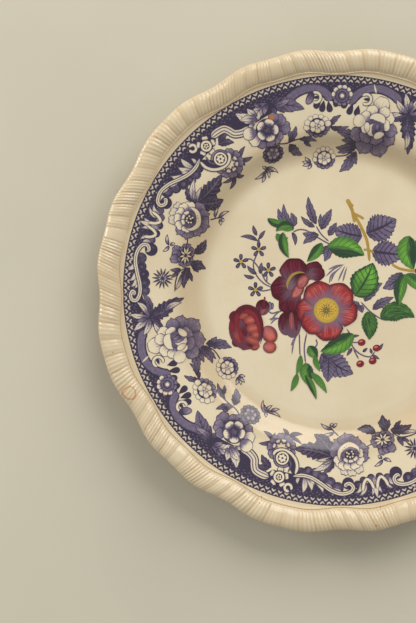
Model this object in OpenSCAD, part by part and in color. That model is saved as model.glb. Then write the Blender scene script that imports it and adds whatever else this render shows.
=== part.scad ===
// China dinner plate with a moulded gadroon edge, a printed border and a painted bouquet.
// The clay body stands on its foot ring at z = 0, centred on the z axis. Millimetres.

/* [Body] */
// Mean radius of the scalloped edge
edge_r = 133.5; // [128:0.5:138]
// Radius of the flat floor of the well
floor_r = 73; // [70:0.5:74]
// Thickness of the clay
wall_t = 4.5; // [4:0.1:5]
// Height of the foot ring
foot_h = 2.5; // [2:0.1:4]
// Width of the foot ring
foot_w = 5; // [4:0.5:7]

/* [Wall and rim] */
// Steepest slope of the wall that rises from the well, in degrees
wall_slope = 38; // [32:1:42]
// Slope of the rim, in degrees
rim_slope = 11; // [8:1:14]
// Radius of the hollow curve where the wall leaves the floor
hollow_r = 16; // [14:0.5:17]
// Radius of the shoulder where the wall turns into the rim
shoulder_r = 14; // [12:0.5:15]
// Length of the straight stretch of the wall
wall_run = 3; // [2:0.5:4]

/* [Gadroon edge] */
// Radius where the printed rim ends and the plain edge begins
rim_r = 119.2; // [118:0.1:119.5]
// Mean radius of the inner line of the gadroon moulding
moulding_r = 121.3; // [121:0.1:122]
// Height of the moulding above the slope of the rim
moulding_h = 2.1; // [1.5:0.1:2.6]
// Flutes round the plate, a multiple of 6
flutes = 102; // [84:6:108]
// Depth of a flute
flute_depth = 0.5; // [0.3:0.05:0.7]

/* [Decoration] */
// Thickness of a layer of printed or painted colour
film_t = 0.15; // [0.1:0.01:0.2]
// Repeats of the printed border round the plate
repeats = 3; // [3:1:3]

/* [Hidden] */
$fn = 180;

clay = [0.87, 0.82, 0.70];
violet = [0.36, 0.31, 0.46];
violet_dark = [0.25, 0.21, 0.34];
rose = [0.66, 0.22, 0.20];
maroon = [0.42, 0.12, 0.17];
leaf_green = [0.25, 0.50, 0.18];
stamen_yellow = [0.80, 0.64, 0.25];
stem_ochre = [0.68, 0.53, 0.22];

floor_z = foot_h + wall_t;
foot_taper_in = 1;          // how far the foot ring narrows on its inner side
foot_taper_out = 1.2;       // and on its outer side
hollow_steps = 6;           // segments of the hollow curve
shoulder_steps = 5;         // segments of the shoulder
cut_h = 60;                 // taller than the plate, for cutting tools
swirl = 46;                 // angle of the first swirl, where the flutes meet
columns_per_flute = 4;      // corners of the mesh across one flute
flute_lean = 2;             // degrees that a flute leans towards its swirl
inner_wave = 0.9;           // share of the edge's swell that the inner line follows
shoulder_edge = 92.5;       // radius where the wall ends and the rim begins
print_r = 118.8;            // outer radius of the printed border
ground_r = 104;             // inner radius of the printed ground
petal_overlap = 1.15;       // how much wider a petal is than one that just meets its neighbours
band_steps = 12;            // segments of a curved band

// ---- the face and the back of the clay, as one curve at an offset t from the face ----

function lift(a) = [-sin(a), cos(a)];
hollow_c = [floor_r, floor_z + hollow_r];
wall_top = hollow_c - hollow_r * lift(wall_slope) + wall_run * [cos(wall_slope), sin(wall_slope)];
shoulder_c = wall_top - shoulder_r * lift(wall_slope);
rim_start = shoulder_c + shoulder_r * lift(rim_slope);

function rim_z(r, t = 0) = rim_start[1] + (r - rim_start[0]) * tan(rim_slope) + t / cos(rim_slope);

// Points of the wall from the floor to the start of the rim, t millimetres above the face
function wall_curve(t) = concat(
    [for (i = [0:hollow_steps]) hollow_c - (hollow_r - t) * lift(wall_slope * i / hollow_steps)],
    [for (i = [0:shoulder_steps]) shoulder_c
        + (shoulder_r + t) * lift(wall_slope + (rim_slope - wall_slope) * i / shoulder_steps)]);

function backwards(list) = [for (i = [len(list) - 1:-1:0]) list[i]];

function wall_section(low, high) = concat(
    wall_curve(high), [[shoulder_edge, rim_z(shoulder_edge, high)]],
    [[shoulder_edge, rim_z(shoulder_edge, low)]], backwards(wall_curve(low)));

function rim_section(low, high, r0, r1) =
    [[r0, rim_z(r0, high)], [r1, rim_z(r1, high)], [r1, rim_z(r1, low)], [r0, rim_z(r0, low)]];

// ---- the clay ----

module well() color(clay)
    translate([0, 0, foot_h]) cylinder(r = floor_r, h = wall_t);

module cavetto() color(clay)
    rotate_extrude() polygon(wall_section(-wall_t, 0));

module rim() color(clay)
    rotate_extrude() polygon(rim_section(-wall_t, 0, shoulder_edge, rim_r));

// A tapered ring under the floor, flat where it stands
module foot_ring() color(clay)
    rotate_extrude() polygon([[floor_r - foot_w, foot_h], [floor_r - foot_w + foot_taper_in, 0],
        [floor_r - foot_taper_out, 0], [floor_r, foot_h]]);

// How far the edge swells at an angle a from a swirl: two lobes, a notch at the swirl
function wave(a) = -0.4 * cos(6 * a) + cos(12 * a) - 0.3 * cos(18 * a) - 0.55 * cos(24 * a);

// One row of the moulding: share of the way out, height above the rim's slope, share of the flute's depth
moulding_rows = [[0, 0, 0], [0.06, 0.55, 0.2], [0.25, 0.9, 0.8], [0.5, 1, 1], [0.75, 0.72, 1],
    [0.93, 0.1, 0.7], [1, -0.5, 0.3], [0.93, -1.3, 0], [0.55, -1.9, 0]];

function moulding_point(a, row) = let (
        turn = a - flute_lean * sin(6 * a) * row[0],
        inner = moulding_r + inner_wave * wave(turn),
        r = inner + (edge_r + wave(turn) - inner) * row[0],
        z = rim_z(r) + moulding_h * row[1] + flute_depth * row[2] * cos(flutes * a))
    [r * cos(turn + swirl), r * sin(turn + swirl), z];

module gadroon_edge() color(clay) {
    columns = flutes * columns_per_flute;
    rows = len(moulding_rows) + 2;
    points = [for (c = [0:columns - 1]) let (a = 360 * c / columns) each concat(
        [[rim_r * cos(a + swirl), rim_r * sin(a + swirl), rim_z(rim_r)]],
        [for (row = moulding_rows) moulding_point(a, row)],
        [[rim_r * cos(a + swirl), rim_r * sin(a + swirl), rim_z(rim_r, -wall_t)]])];
    quads = [for (c = [0:columns - 1], k = [0:rows - 1]) let (d = (c + 1) % columns, n = (k + 1) % rows)
        [c * rows + k, c * rows + n, d * rows + n, d * rows + k]];
    polyhedron(points = points, faces = [for (q = quads) each [[q[0], q[2], q[1]], [q[0], q[3], q[2]]]]);
}

// ---- flat shapes that the decoration is cut from ----

// Petals in a ring, with the disc that joins them
module blossom(petals, size) {
    petal = size * sin(180 / petals) / (1 + sin(180 / petals)) * petal_overlap;
    circle(r = size - petal);
    for (i = [0:petals - 1]) rotate(360 * i / petals) translate([size - petal, 0]) circle(r = petal);
}

// A pointed leaf from its stalk at the origin along +x
module leaf(length, width) {
    r = (length * length + width * width) / (4 * width);
    intersection() {
        translate([length / 2, r - width / 2]) circle(r = r);
        translate([length / 2, width / 2 - r]) circle(r = r);
    }
}

// A curved band of radius r and width w, from angle a0 to a1
module band(r, w, a0, a1) {
    angles = [for (i = [0:band_steps]) a0 + (a1 - a0) * i / band_steps];
    polygon(concat([for (a = angles) (r + w / 2) * [cos(a), sin(a)]],
        [for (a = backwards(angles)) (r - w / 2) * [cos(a), sin(a)]]));
}

// A straight stroke between two points
module stroke(p, q, w) {
    d = q - p;
    translate(p) rotate(atan2(d[1], d[0])) translate([0, -w / 2]) square([norm(d), w]);
}

module at(p, turn = 0) translate(p) rotate(turn) children();

// Places a shape at an angle and a radius on the plate, once in each repeat of the border
module border(angle, r, turn = 0)
    for (k = [0:repeats - 1]) rotate(angle + k * 360 / repeats) translate([r, 0]) rotate(turn) children();

// ---- the border ----

// A thin layer that follows the face of the wall and the rim
module face_film(r0, r1) rotate_extrude() {
    if (r0 < shoulder_edge) polygon(wall_section(0, film_t));
    polygon(rim_section(0, film_t, max(r0, shoulder_edge), r1));
}

module on_face(r0, r1) intersection() {
    face_film(r0, r1);
    linear_extrude(cut_h) children();
}

module flower_shapes() {
    border(88.7, 108.5) blossom(6, 4.6);
    border(97, 93) blossom(8, 6.5);
    border(114, 97) blossom(5, 9);
    border(115, 84.5) blossom(8, 5.5);
    border(132.5, 108) blossom(5, 5.2);
    border(132, 95) blossom(7, 7);
    border(154.5, 91) blossom(7, 11.5);
    border(166.5, 87) blossom(8, 6);
    border(176, 97) blossom(8, 4.6);
    border(197, 92) blossom(6, 13.5);
}

module leaf_shapes() {
    border(141, 103, 190) leaf(13, 7);
    border(148, 93, 120) leaf(15, 7);
    border(186.5, 104, 205) leaf(18, 8);
    border(171.5, 84, 60) leaf(10, 5);
    border(161.5, 84.5, -60) leaf(9, 4.5);
    border(206, 88, 60) leaf(11, 5.5);
    border(91, 92, -70) leaf(8, 3);
    border(101.5, 88, 30) leaf(7, 4);
    border(108, 86.5, 200) leaf(8, 4);
}

module scroll_shapes() {
    border(99, 104) band(7, 2.2, -75, 60);
    border(81, 104) band(7, 2.2, -60, 75);
    border(148, 104) band(8, 2, -80, 70);
    border(172, 104) band(8, 2, -70, 80);
    border(160, 105.5) blossom(5, 5);
    border(111, 108, 48) leaf(9, 4.5);
    border(111, 108, -48) leaf(9, 4.5);
    border(188, 107, 20) leaf(8, 4);
    border(188, 107, 70) leaf(8, 4);
}

module border_flower_print() color(violet)
    on_face(floor_r, print_r) flower_shapes();

module border_leaf_print() color(violet_dark)
    on_face(floor_r, print_r) difference() {
        leaf_shapes();
        flower_shapes();
    }

module border_scroll_print() color(violet)
    on_face(shoulder_edge, print_r) difference() {
        scroll_shapes();
        flower_shapes();
        leaf_shapes();
    }

module border_ground_print() color(violet_dark)
    difference() {
        face_film(ground_r, print_r);
        cylinder(r = ground_r, h = cut_h);
        linear_extrude(cut_h) {
            scroll_shapes();
            flower_shapes();
            leaf_shapes();
        }
    }

// ---- the bouquet on the floor of the well ----

module on_floor() translate([0, 0, floor_z]) linear_extrude(film_t) children();

wild_rose_at = [-6, -11];
dark_rose_at = [-24, 4];
peony_at = [-50, -21];

module wild_rose_shape() at(wild_rose_at, 10) blossom(6, 17);

module stamen_shape() at(wild_rose_at) circle(r = 7);

module dark_rose_shape() {
    at(dark_rose_at, 25) blossom(5, 14);
    at([-12, 12]) circle(r = 6);
}

module peony_shape() {
    at(peony_at) circle(r = 10.5);
    at(peony_at + [2, 3.5]) circle(r = 8);
    at([-38, -24.5]) circle(r = 5.5);
    at([-37.5, -31]) circle(r = 3.8);
}

module bud_shapes() {
    at([-41.5, -9.5]) blossom(4, 4);
    at([-26, -17.5]) blossom(5, 6.5);
}

module berry_shapes() for (p = [[14, -29], [23, -32], [13, -41], [20.5, -39.5]]) at(p) circle(r = 1.9);

module green_leaf_shapes() {
    at([-38, 40], -18) leaf(13, 5);
    at([-27, 37], -105) leaf(18, 6);
    at([-16.5, 17.5], 52) leaf(13, 6);
    at([-4, 24], -8) leaf(20, 14);
    at([12, -2], 68) leaf(19, 14);
    at([8, -24], 205) leaf(18, 8);
    at([17.5, -13], -84) leaf(14, 8);
    at([26, -17], 5) leaf(20, 10);
    at([39, -8], 70) leaf(18, 8);
    at([40, 12], 85) leaf(19, 9);
    at([-20, -37], -110) leaf(18, 5);
    at([-17, -41], -70) leaf(20, 6);
    at([-14, -31], -75) leaf(13, 5);
}

module violet_leaf_shapes() {
    at([-10, 33], 113) leaf(20, 6);
    at([-8, 32], 65) leaf(14, 6);
    at([-5, 28], 120) leaf(9, 4);
    at([-18, 32], 10) leaf(9, 4);
    at([1, 32], 8) leaf(15, 11);
    at([18.4, 29.8], 42) leaf(18, 12);
    at([20, 20], 0) leaf(16, 13);
    at([12, -4], 12) leaf(8, 7);
    at([20, -10], 25) leaf(13, 6);
    at([16, -5], 45) leaf(13, 6);
    at([-8, -41], -18) leaf(21, 13);
    at([-46, 30], 115) leaf(9, 3);
    at([-44, 30], 60) leaf(7, 2.6);
    for (p = [[-43.5, 23], [-53.5, 16.5], [-38, 11.5], [-45, 0.5]]) at(p) blossom(5, 4);
}

module ochre_stem_shape() {
    stroke([7, 50], [10, 40], 2.4);
    stroke([10, 40], [17, 29], 2);
    stroke([17, 29], [19, 17], 1.6);
    stroke([17, 23], [30, 15], 1.2);
    stroke([30, 15], [46, 11], 1.2);
}

module violet_stem_shapes() {
    stroke([-47, 16], [-43.5, 30], 0.7);
    stroke([-47, 16], [-36, 2.5], 0.7);
    stroke([-19, -19], [-18, -41], 0.9);
    stroke([-22, -24], [-21, -37], 0.7);
    stroke([-36, -14], [-31, -11], 0.7);
    stroke([9, -24], [9, -33], 0.6);
    stroke([9, -33], [24, -37], 0.6);
    stroke([16, -8], [28, -17], 0.8);
    stroke([-9, 31], [0, 25], 0.7);
}

// Painted flowers cover the leaves and stems that run behind them
module painted_flowers() {
    wild_rose_shape();
    dark_rose_shape();
    peony_shape();
    bud_shapes();
    berry_shapes();
}

module wild_rose_enamel() color(rose)
    on_floor() difference() {
        wild_rose_shape();
        stamen_shape();
    }

module stamen_enamel() color(stamen_yellow)
    on_floor() stamen_shape();

module dark_rose_enamel() color(maroon)
    on_floor() difference() {
        dark_rose_shape();
        wild_rose_shape();
    }

module peony_enamel() color(rose)
    on_floor() peony_shape();

module bud_enamel() color(maroon)
    on_floor() difference() {
        bud_shapes();
        wild_rose_shape();
        dark_rose_shape();
        peony_shape();
    }

module berry_enamel() color(rose)
    on_floor() berry_shapes();

module leaf_enamel() color(leaf_green)
    on_floor() difference() {
        green_leaf_shapes();
        painted_flowers();
    }

module stem_enamel() color(stem_ochre)
    on_floor() difference() {
        ochre_stem_shape();
        painted_flowers();
        green_leaf_shapes();
    }

module centre_leaf_print() color(violet_dark)
    on_floor() difference() {
        violet_leaf_shapes();
        painted_flowers();
        green_leaf_shapes();
        ochre_stem_shape();
    }

module centre_stem_print() color(violet)
    on_floor() difference() {
        violet_stem_shapes();
        violet_leaf_shapes();
        painted_flowers();
        green_leaf_shapes();
        ochre_stem_shape();
    }

well();
cavetto();
rim();
gadroon_edge();
foot_ring();
border_ground_print();
border_scroll_print();
border_flower_print();
border_leaf_print();
centre_leaf_print();
centre_stem_print();
wild_rose_enamel();
dark_rose_enamel();
peony_enamel();
bud_enamel();
berry_enamel();
leaf_enamel();
stamen_enamel();
stem_enamel();
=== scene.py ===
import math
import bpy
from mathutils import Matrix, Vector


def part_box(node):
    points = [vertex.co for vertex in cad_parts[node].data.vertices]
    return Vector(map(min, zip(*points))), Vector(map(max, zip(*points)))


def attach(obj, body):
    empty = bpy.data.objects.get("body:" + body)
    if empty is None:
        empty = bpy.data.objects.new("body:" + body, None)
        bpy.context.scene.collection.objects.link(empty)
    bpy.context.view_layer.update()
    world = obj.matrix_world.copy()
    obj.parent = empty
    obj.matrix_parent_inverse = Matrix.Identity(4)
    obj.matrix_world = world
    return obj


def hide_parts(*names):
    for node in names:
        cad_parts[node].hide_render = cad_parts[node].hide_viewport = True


bl_info = {
    "name": "China dinner plate",
    "version": (1, 0, 0),
    "blender": (4, 5, 0),
    "location": "3D View > Sidebar > Dinner plate",
    "description": "Glazes, prints and paints a china dinner plate around its modelled clay body",
    "category": "Add Mesh",
}

from collections import namedtuple

import bmesh
import bpy
from bpy.props import FloatProperty, FloatVectorProperty, IntProperty, PointerProperty
from mathutils import Matrix, Vector

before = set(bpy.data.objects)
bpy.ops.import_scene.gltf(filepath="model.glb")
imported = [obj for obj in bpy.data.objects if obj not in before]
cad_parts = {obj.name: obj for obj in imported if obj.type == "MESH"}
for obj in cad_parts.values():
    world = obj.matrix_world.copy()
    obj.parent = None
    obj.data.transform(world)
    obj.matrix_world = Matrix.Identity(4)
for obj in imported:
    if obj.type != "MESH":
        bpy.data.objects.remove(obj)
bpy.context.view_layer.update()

MM = 0.001
TAU = math.tau

FLOOR_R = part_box("well")[1].x
FLOOR_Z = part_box("well")[1].z
FOOT_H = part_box("foot_ring")[1].z
SHOULDER_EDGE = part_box("cavetto")[1].x
RIM_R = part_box("rim")[1].x
RIM_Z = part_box("rim")[1].z
WALL_T = FLOOR_Z - FOOT_H

REPEATS = 3                 # the border's pattern comes three times round
SPIN_STEPS = 408            # sides of a turned piece: a quarter of the gadroon's columns
SHARP = math.radians(32)    # edges that turn more than this stay crisp
THIN = 0.02 * MM            # the strip at a piece's edge that keeps its shading flat
CAMERA_X, CAMERA_Y = -72.1 * MM, -11.6 * MM    # the point of the plan under the camera
CAMERA_RISE = 0.8           # the camera's height above the rim
VIEW_HEIGHT = 0.3444        # how much of the rim's level the frame's long side takes in


# ---- settings

def srgb(code):
    """Linear colour from an sRGB hex value such as "d9c8a3"."""
    channels = [int(code[i:i + 2], 16) / 255 for i in (0, 2, 4)]
    return [c / 12.92 if c <= 0.04045 else ((c + 0.055) / 1.055) ** 2.4 for c in channels]


def length(name, description, millimetres):
    """A length that shows in the scene's units."""
    return FloatProperty(name=name, description=description, default=millimetres * MM,
                         unit="LENGTH", subtype="DISTANCE", precision=5)


def slope(name, description, degrees):
    """An angle that shows in degrees."""
    return FloatProperty(name=name, description=description, default=math.radians(degrees),
                         unit="ROTATION", subtype="ANGLE")


def colour(name, description, code):
    """A colour picker whose default is an sRGB hex value."""
    return FloatVectorProperty(name=name, description=description, default=srgb(code),
                               subtype="COLOR", size=3, min=0, max=1)


class PlateProfile(bpy.types.PropertyGroup):
    """The curve of the wall and rim, as the clay solids have it."""
    hollow_r: length("Hollow radius", "Radius of the curve where the wall leaves the floor", 16)
    shoulder_r: length("Shoulder radius", "Radius where the wall turns into the rim", 14)
    wall_run: length("Wall run", "Straight stretch of the wall", 3)
    wall_slope: slope("Wall slope", "Steepest slope of the wall", 38)
    rim_slope: slope("Rim slope", "Slope of the rim", 11)
    foot_w: length("Foot width", "Width of the foot ring where it joins the floor", 5)


class GadroonEdge(bpy.types.PropertyGroup):
    """The moulded edge."""
    edge_r: length("Edge radius", "Mean radius of the scalloped edge", 133.5)
    moulding_r: length("Moulding radius", "Mean radius of the moulding's inner line", 121.3)
    flutes: IntProperty(name="Flutes", description="Flutes round the plate", default=102)
    flute_depth: length("Flute depth", "Half the height from a flute's valley to its crest", 0.34)
    reed_depth: length("Reed depth", "Half the height of the fine reeds on a flute", 0.17)
    lean: slope("Lean", "How far a flute's outer end leans to its swirl", 2.6)
    swirl: slope("First swirl", "Where the flutes of two scallops meet", 46)


class GlazeColours(bpy.types.PropertyGroup):
    """Clay, glaze, the shade painted into its hollows and what age has done to them."""
    cream: colour("Cream", "Glaze over the pale clay", "e2d5b6")
    # the darker glaze colour: used for the shade painted into the wall's hollow and the flutes' valleys,
    # and for the glaze's own drift and crazing
    pooled_glaze_and_shade: colour("Pooled glaze", "Glaze that lies thick in hollows", "c0a67e")
    biscuit: colour("Biscuit", "Bare clay where the foot has worn", "c9b58f")
    amber: colour("Amber", "Tea and kiln stains under the glaze", "b9772a")


class PrintColours(bpy.types.PropertyGroup):
    """The engraved print."""
    full: colour("Full ink", "Print where the engraving is deepest", "362d43")
    half: colour("Half ink", "Print where fine lines let the clay through", "776b84")


class EnamelColours(bpy.types.PropertyGroup):
    """The painter's colours."""
    coral: colour("Coral", "Lit part of a red petal", "d4735f")
    crimson: colour("Crimson", "Body of a red petal", "9e2a2e")
    maroon: colour("Maroon", "Edge and deepest part of a red petal", "5a1022")
    rose: colour("Old rose", "Lit part of a maroon petal", "c9776f")
    wine: colour("Wine", "Body of a maroon petal", "70082a")
    plum: colour("Plum", "Edge and deepest part of a maroon petal", "3e0010")
    heather: colour("Heather", "Print that shows through near a flower's heart", "7b6478")
    grass: colour("Grass green", "Lit part of a leaf", "6fae3c")
    bottle: colour("Bottle green", "Shaded part of a leaf", "24402a")
    yolk: colour("Yolk yellow", "Stamens", "cda83f")
    ochre: colour("Ochre", "Woody stems", "b88f34")
    umber: colour("Umber", "Dots and shade on yellow", "665c3a")


class StageSettings(bpy.types.PropertyGroup):
    """The table and the light."""
    table: colour("Table", "Painted table top", "cbc5b1")
    room: colour("Room", "Light that the room throws back", "f1efec")
    room_strength: FloatProperty(name="Room strength", description="Strength of the room's light",
                                 default=0.56)
    window_power: FloatProperty(name="Window power", description="Power of the window in watts", default=54)
    wall_power: FloatProperty(name="Wall power", description="Power of the pale wall in watts", default=6.5)


# ---- the plate's face

class Face:
    """The glazed face: its height at each distance from the axis."""

    def __init__(self, profile):
        self.hollow = profile.hollow_r
        self.shoulder = profile.shoulder_r
        self.wall_slope = profile.wall_slope
        self.rim_slope = profile.rim_slope
        self.hollow_c = Vector((FLOOR_R, FLOOR_Z + self.hollow))
        self.wall_low = self.hollow_c - self.hollow * self.lift(self.wall_slope)
        run = Vector((math.cos(self.wall_slope), math.sin(self.wall_slope)))
        self.wall_top = self.wall_low + profile.wall_run * run
        self.shoulder_c = self.wall_top - self.shoulder * self.lift(self.wall_slope)
        self.rim_start = self.shoulder_c + self.shoulder * self.lift(self.rim_slope)

    @staticmethod
    def lift(angle):
        return Vector((-math.sin(angle), math.cos(angle)))

    def rim_height(self, radius, above=0.0):
        """Height of the rim's cone, or of a cone so far above it."""
        rise = (radius - self.rim_start.x) * math.tan(self.rim_slope)
        return self.rim_start.y + rise + above / math.cos(self.rim_slope)

    def height(self, radius):
        """Height of the face at a distance from the axis."""
        if radius <= FLOOR_R:
            return FLOOR_Z
        if radius <= self.wall_low.x:
            return self.hollow_c.y - math.sqrt(self.hollow ** 2 - (radius - FLOOR_R) ** 2)
        if radius <= self.wall_top.x:
            return self.wall_low.y + (radius - self.wall_low.x) * math.tan(self.wall_slope)
        if radius <= self.rim_start.x:
            return self.shoulder_c.y + math.sqrt(self.shoulder ** 2 - (self.shoulder_c.x - radius) ** 2)
        return self.rim_height(radius)

    def wall_curve(self, above):
        """Points of the wall from floor to rim, that far above the face."""
        shares = (0, 0.004, 0.04, 0.1, *[i / 14 for i in range(2, 15)])
        hollow = [self.hollow_c - (self.hollow - above) * self.lift(self.wall_slope * s) for s in shares]
        turn = self.rim_slope - self.wall_slope
        shares = (*[i / 10 for i in range(10)], 0.96, 1)
        shoulder = [self.shoulder_c + (self.shoulder + above) * self.lift(self.wall_slope + turn * s)
                    for s in shares]
        return hollow + shoulder


# ---- materials

def add(tree, kind, inputs=None, **settings):
    """Adds a node; inputs maps a socket to a value or to another node's output."""
    made = tree.nodes.new("ShaderNode" + kind)
    for key, value in settings.items():
        setattr(made, key, value)
    for key, value in (inputs or {}).items():
        if isinstance(value, bpy.types.NodeSocket):
            tree.links.new(value, made.inputs[key])
        else:
            made.inputs[key].default_value = value
    return made


def maths(tree, operation, *values):
    """The result of a Math node on two or three values or sockets."""
    return add(tree, "Math", dict(enumerate(values)), operation=operation).outputs[0]


def mul(tree, *values):
    return maths(tree, "MULTIPLY", *values)


def mul_add(tree, *values):
    return maths(tree, "MULTIPLY_ADD", *values)


def fade(tree, value, start, end, low=0.0, high=1.0):
    """Runs smoothly from low to high as value goes from start to end."""
    node = add(tree, "MapRange", {0: value, 1: start, 2: end, 3: low, 4: high},
               interpolation_type="SMOOTHSTEP", clamp=True)
    return node.outputs[0]


def blend(tree, share, first, second, how="MIX"):
    """Mixes two colours."""
    node = add(tree, "Mix", {0: share, 6: first, 7: second}, data_type="RGBA", blend_type=how)
    return node.outputs[2]


def opaque(rgb):
    """A colour with full alpha, as a colour socket takes it."""
    return (*rgb, 1)


def new_material(name):
    """A material with no nodes yet but the place on the object."""
    material = bpy.data.materials.new(name)
    material.use_nodes = True
    tree = material.node_tree
    tree.nodes.clear()
    return material, tree, add(tree, "TexCoord").outputs["Object"]


def noise(tree, place, scale, detail, roughness=0.5):
    """An uneven value from 0 to 1."""
    inputs = {"Vector": place, "Scale": scale, "Detail": detail, "Roughness": roughness}
    return add(tree, "TexNoise", inputs).outputs[0]


def skin(tree, base, rough, strength, height_mm, height, **more):
    """The shader and its output."""
    bump = add(tree, "Bump", {"Strength": strength, "Distance": height_mm * MM, "Height": height})
    shader = add(tree, "BsdfPrincipled", {"Base Color": base, "Roughness": rough, "Normal": bump.outputs[0],
                                          **more})
    tree.links.new(shader.outputs[0], add(tree, "OutputMaterial").inputs[0])


def glaze(name, colour_of, relief_mm=0.02, gloss=0.2):
    """Clear lead glaze: a hard, wet-looking skin with a faint unevenness."""
    material, tree, place = new_material(name)
    rough = fade(tree, noise(tree, place, 35, 4, 0.6), 0.3, 0.7, gloss * 0.85, gloss * 1.2)
    skin(tree, colour_of(tree, place), rough, 1, relief_mm, noise(tree, place, 120, 2), IOR=1.52)
    return material


def painted_table(stage):
    """Emulsion paint on board: matt, pale, with a faint roller texture."""
    material, tree, place = new_material("Emulsion paint")
    worn = [c * 0.88 for c in stage.table]
    share = fade(tree, noise(tree, place, 6, 3), 0.35, 0.7, 0, 0.5)
    skin(tree, blend(tree, share, opaque(stage.table), opaque(worn)), 0.75, 0.3, 0.1,
         noise(tree, place, 900, 2))
    return material


# Stains under the glaze: angle, radius and size, in degrees and millimetres
RUST_SPOTS = ((249.5, 125, 0.8), (249.5, 121.5, 0.6), (195.3, 129, 0.6), (279, 131, 0.7),
              (281, 121.5, 0.6), (140, 131, 0.6), (111, 103, 2.2), (186.5, 109.5, 0.7), (211, 112.5, 0.8))
CRACK_SPOT = (206, 128.5, 3.6)


def stains_and_painted_shade(tree, place, base, colours):
    """Darkens the wall's hollow with pooled glaze and painted shade, and adds rust spots and the stained
    crack.
    """
    flat = add(tree, "VectorMath", {0: place, 1: (1, 1, 0)}, operation="MULTIPLY").outputs[0]

    def away(angle, radius):
        spot = at(angle, radius) * MM
        return add(tree, "VectorMath", {0: flat, 1: (*spot, 0)}, operation="DISTANCE").outputs[1]
    # painted shade: a ring over the curved wall, from 70 to 98 mm out, takes the darker glaze colour,
    # partly for glaze that pools there and partly for the shade that falls into the hollow
    pool_and_shade = mul(tree, fade(tree, away(0, 0), 70 * MM, 80 * MM, 0, 0.42),
               fade(tree, away(0, 0), 98 * MM, 84 * MM))
    base = blend(tree, pool_and_shade, base, opaque(colours.pooled_glaze_and_shade), "MULTIPLY")
    angle, radius, size = CRACK_SPOT
    wobbly = mul_add(tree, noise(tree, place, 260, 2), 2.4 * MM, away(angle, radius))
    line = maths(tree, "ABSOLUTE", maths(tree, "SUBTRACT", wobbly, (size + 1.2) * MM))
    marks = fade(tree, line, 0.75 * MM, 0.15 * MM, 0, 0.8)
    for angle, radius, size in RUST_SPOTS:
        mark = fade(tree, away(angle, radius), size * MM, size * MM * 0.35)
        marks = maths(tree, "MAXIMUM", marks, mark)
    return blend(tree, mul(tree, marks, 0.85), base, opaque(colours.amber))


def glazed_clay(name, colours, pooling_and_shade=0.0):
    """Cream earthenware under clear glaze, darker where glaze pools and where shade is painted into
    hollows.
    """
    def colour_of(tree, place):
        drift = fade(tree, noise(tree, place, 22, 3, 0.55), 0.35, 0.7, 0, 0.22)
        base = blend(tree, drift, opaque(colours.cream), opaque(colours.pooled_glaze_and_shade))
        if pooling_and_shade:
            # painted shade: the moulding's valleys take the darker glaze, partly for glaze that pools there
            # and partly for the shade that falls into them
            low = add(tree, "Attribute", attribute_name="hollow").outputs["Fac"]
            share = mul_add(tree, low, pooling_and_shade, 0.32)
            base = blend(tree, share, base, opaque(colours.pooled_glaze_and_shade))
        # crazing is finer in life; its net is drawn about 7 mm wide so that it shows
        net = add(tree, "TexVoronoi", {"Vector": place, "Scale": 140}, feature="DISTANCE_TO_EDGE")
        crack = fade(tree, net.outputs["Distance"], 0.03, 0.0, 0, 0.07)
        base = blend(tree, crack, base, opaque(colours.pooled_glaze_and_shade))
        speck = add(tree, "TexVoronoi", {"Vector": place, "Scale": 95, "Randomness": 1})
        red = add(tree, "SeparateColor", {0: speck.outputs["Color"]}).outputs[0]
        chosen = maths(tree, "LESS_THAN", red, 0.06)
        dot = mul(tree, fade(tree, speck.outputs["Distance"], 0.03, 0.012), chosen)
        base = blend(tree, mul(tree, dot, 0.5), base, opaque(colours.amber))
        z = add(tree, "SeparateXYZ", {0: place}).outputs[2]
        base = blend(tree, fade(tree, z, 0.45 * MM, 0.15 * MM), base, opaque(colours.biscuit))
        return stains_and_painted_shade(tree, place, base, colours)
    return glaze(name, colour_of)


def stroke_parts(tree):
    """What a stroke carries: along, across and from its edge, and its four inks."""
    where = add(tree, "Attribute", attribute_name="stroke")
    ink = add(tree, "Attribute", attribute_name="ink")
    along, across, edge = add(tree, "SeparateXYZ", {0: where.outputs["Vector"]}).outputs
    tone, line, base = list(add(tree, "SeparateColor", {0: ink.outputs["Color"]}).outputs)[:3]
    return along, across, edge, tone, line, base, ink.outputs["Alpha"]


def vein_mask(tree, along, across):
    """A midrib, and side veins that slant towards the tip."""
    aside = maths(tree, "ABSOLUTE", across)
    rib = fade(tree, aside, 0.12, 0.03)
    phase = mul_add(tree, aside, -1.6, mul(tree, along, 7.0))
    wave = maths(tree, "ABSOLUTE", maths(tree, "SUBTRACT", maths(tree, "FRACT", phase), 0.5))
    return maths(tree, "MAXIMUM", rib, fade(tree, wave, 0.16, 0.04, 0, 0.8))


def streaks(tree, place, along, across, fineness):
    """Fine uneven lines along a stroke."""
    x, y = add(tree, "SeparateXYZ", {0: place}).outputs[:2]
    apart = mul(tree, maths(tree, "ADD", x, y), 60.0)
    lines = add(tree, "CombineXYZ", {0: mul(tree, across, fineness),
                                     1: mul(tree, along, 1.3), 2: apart})
    return noise(tree, lines.outputs[0], 1.6, 3)


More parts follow.
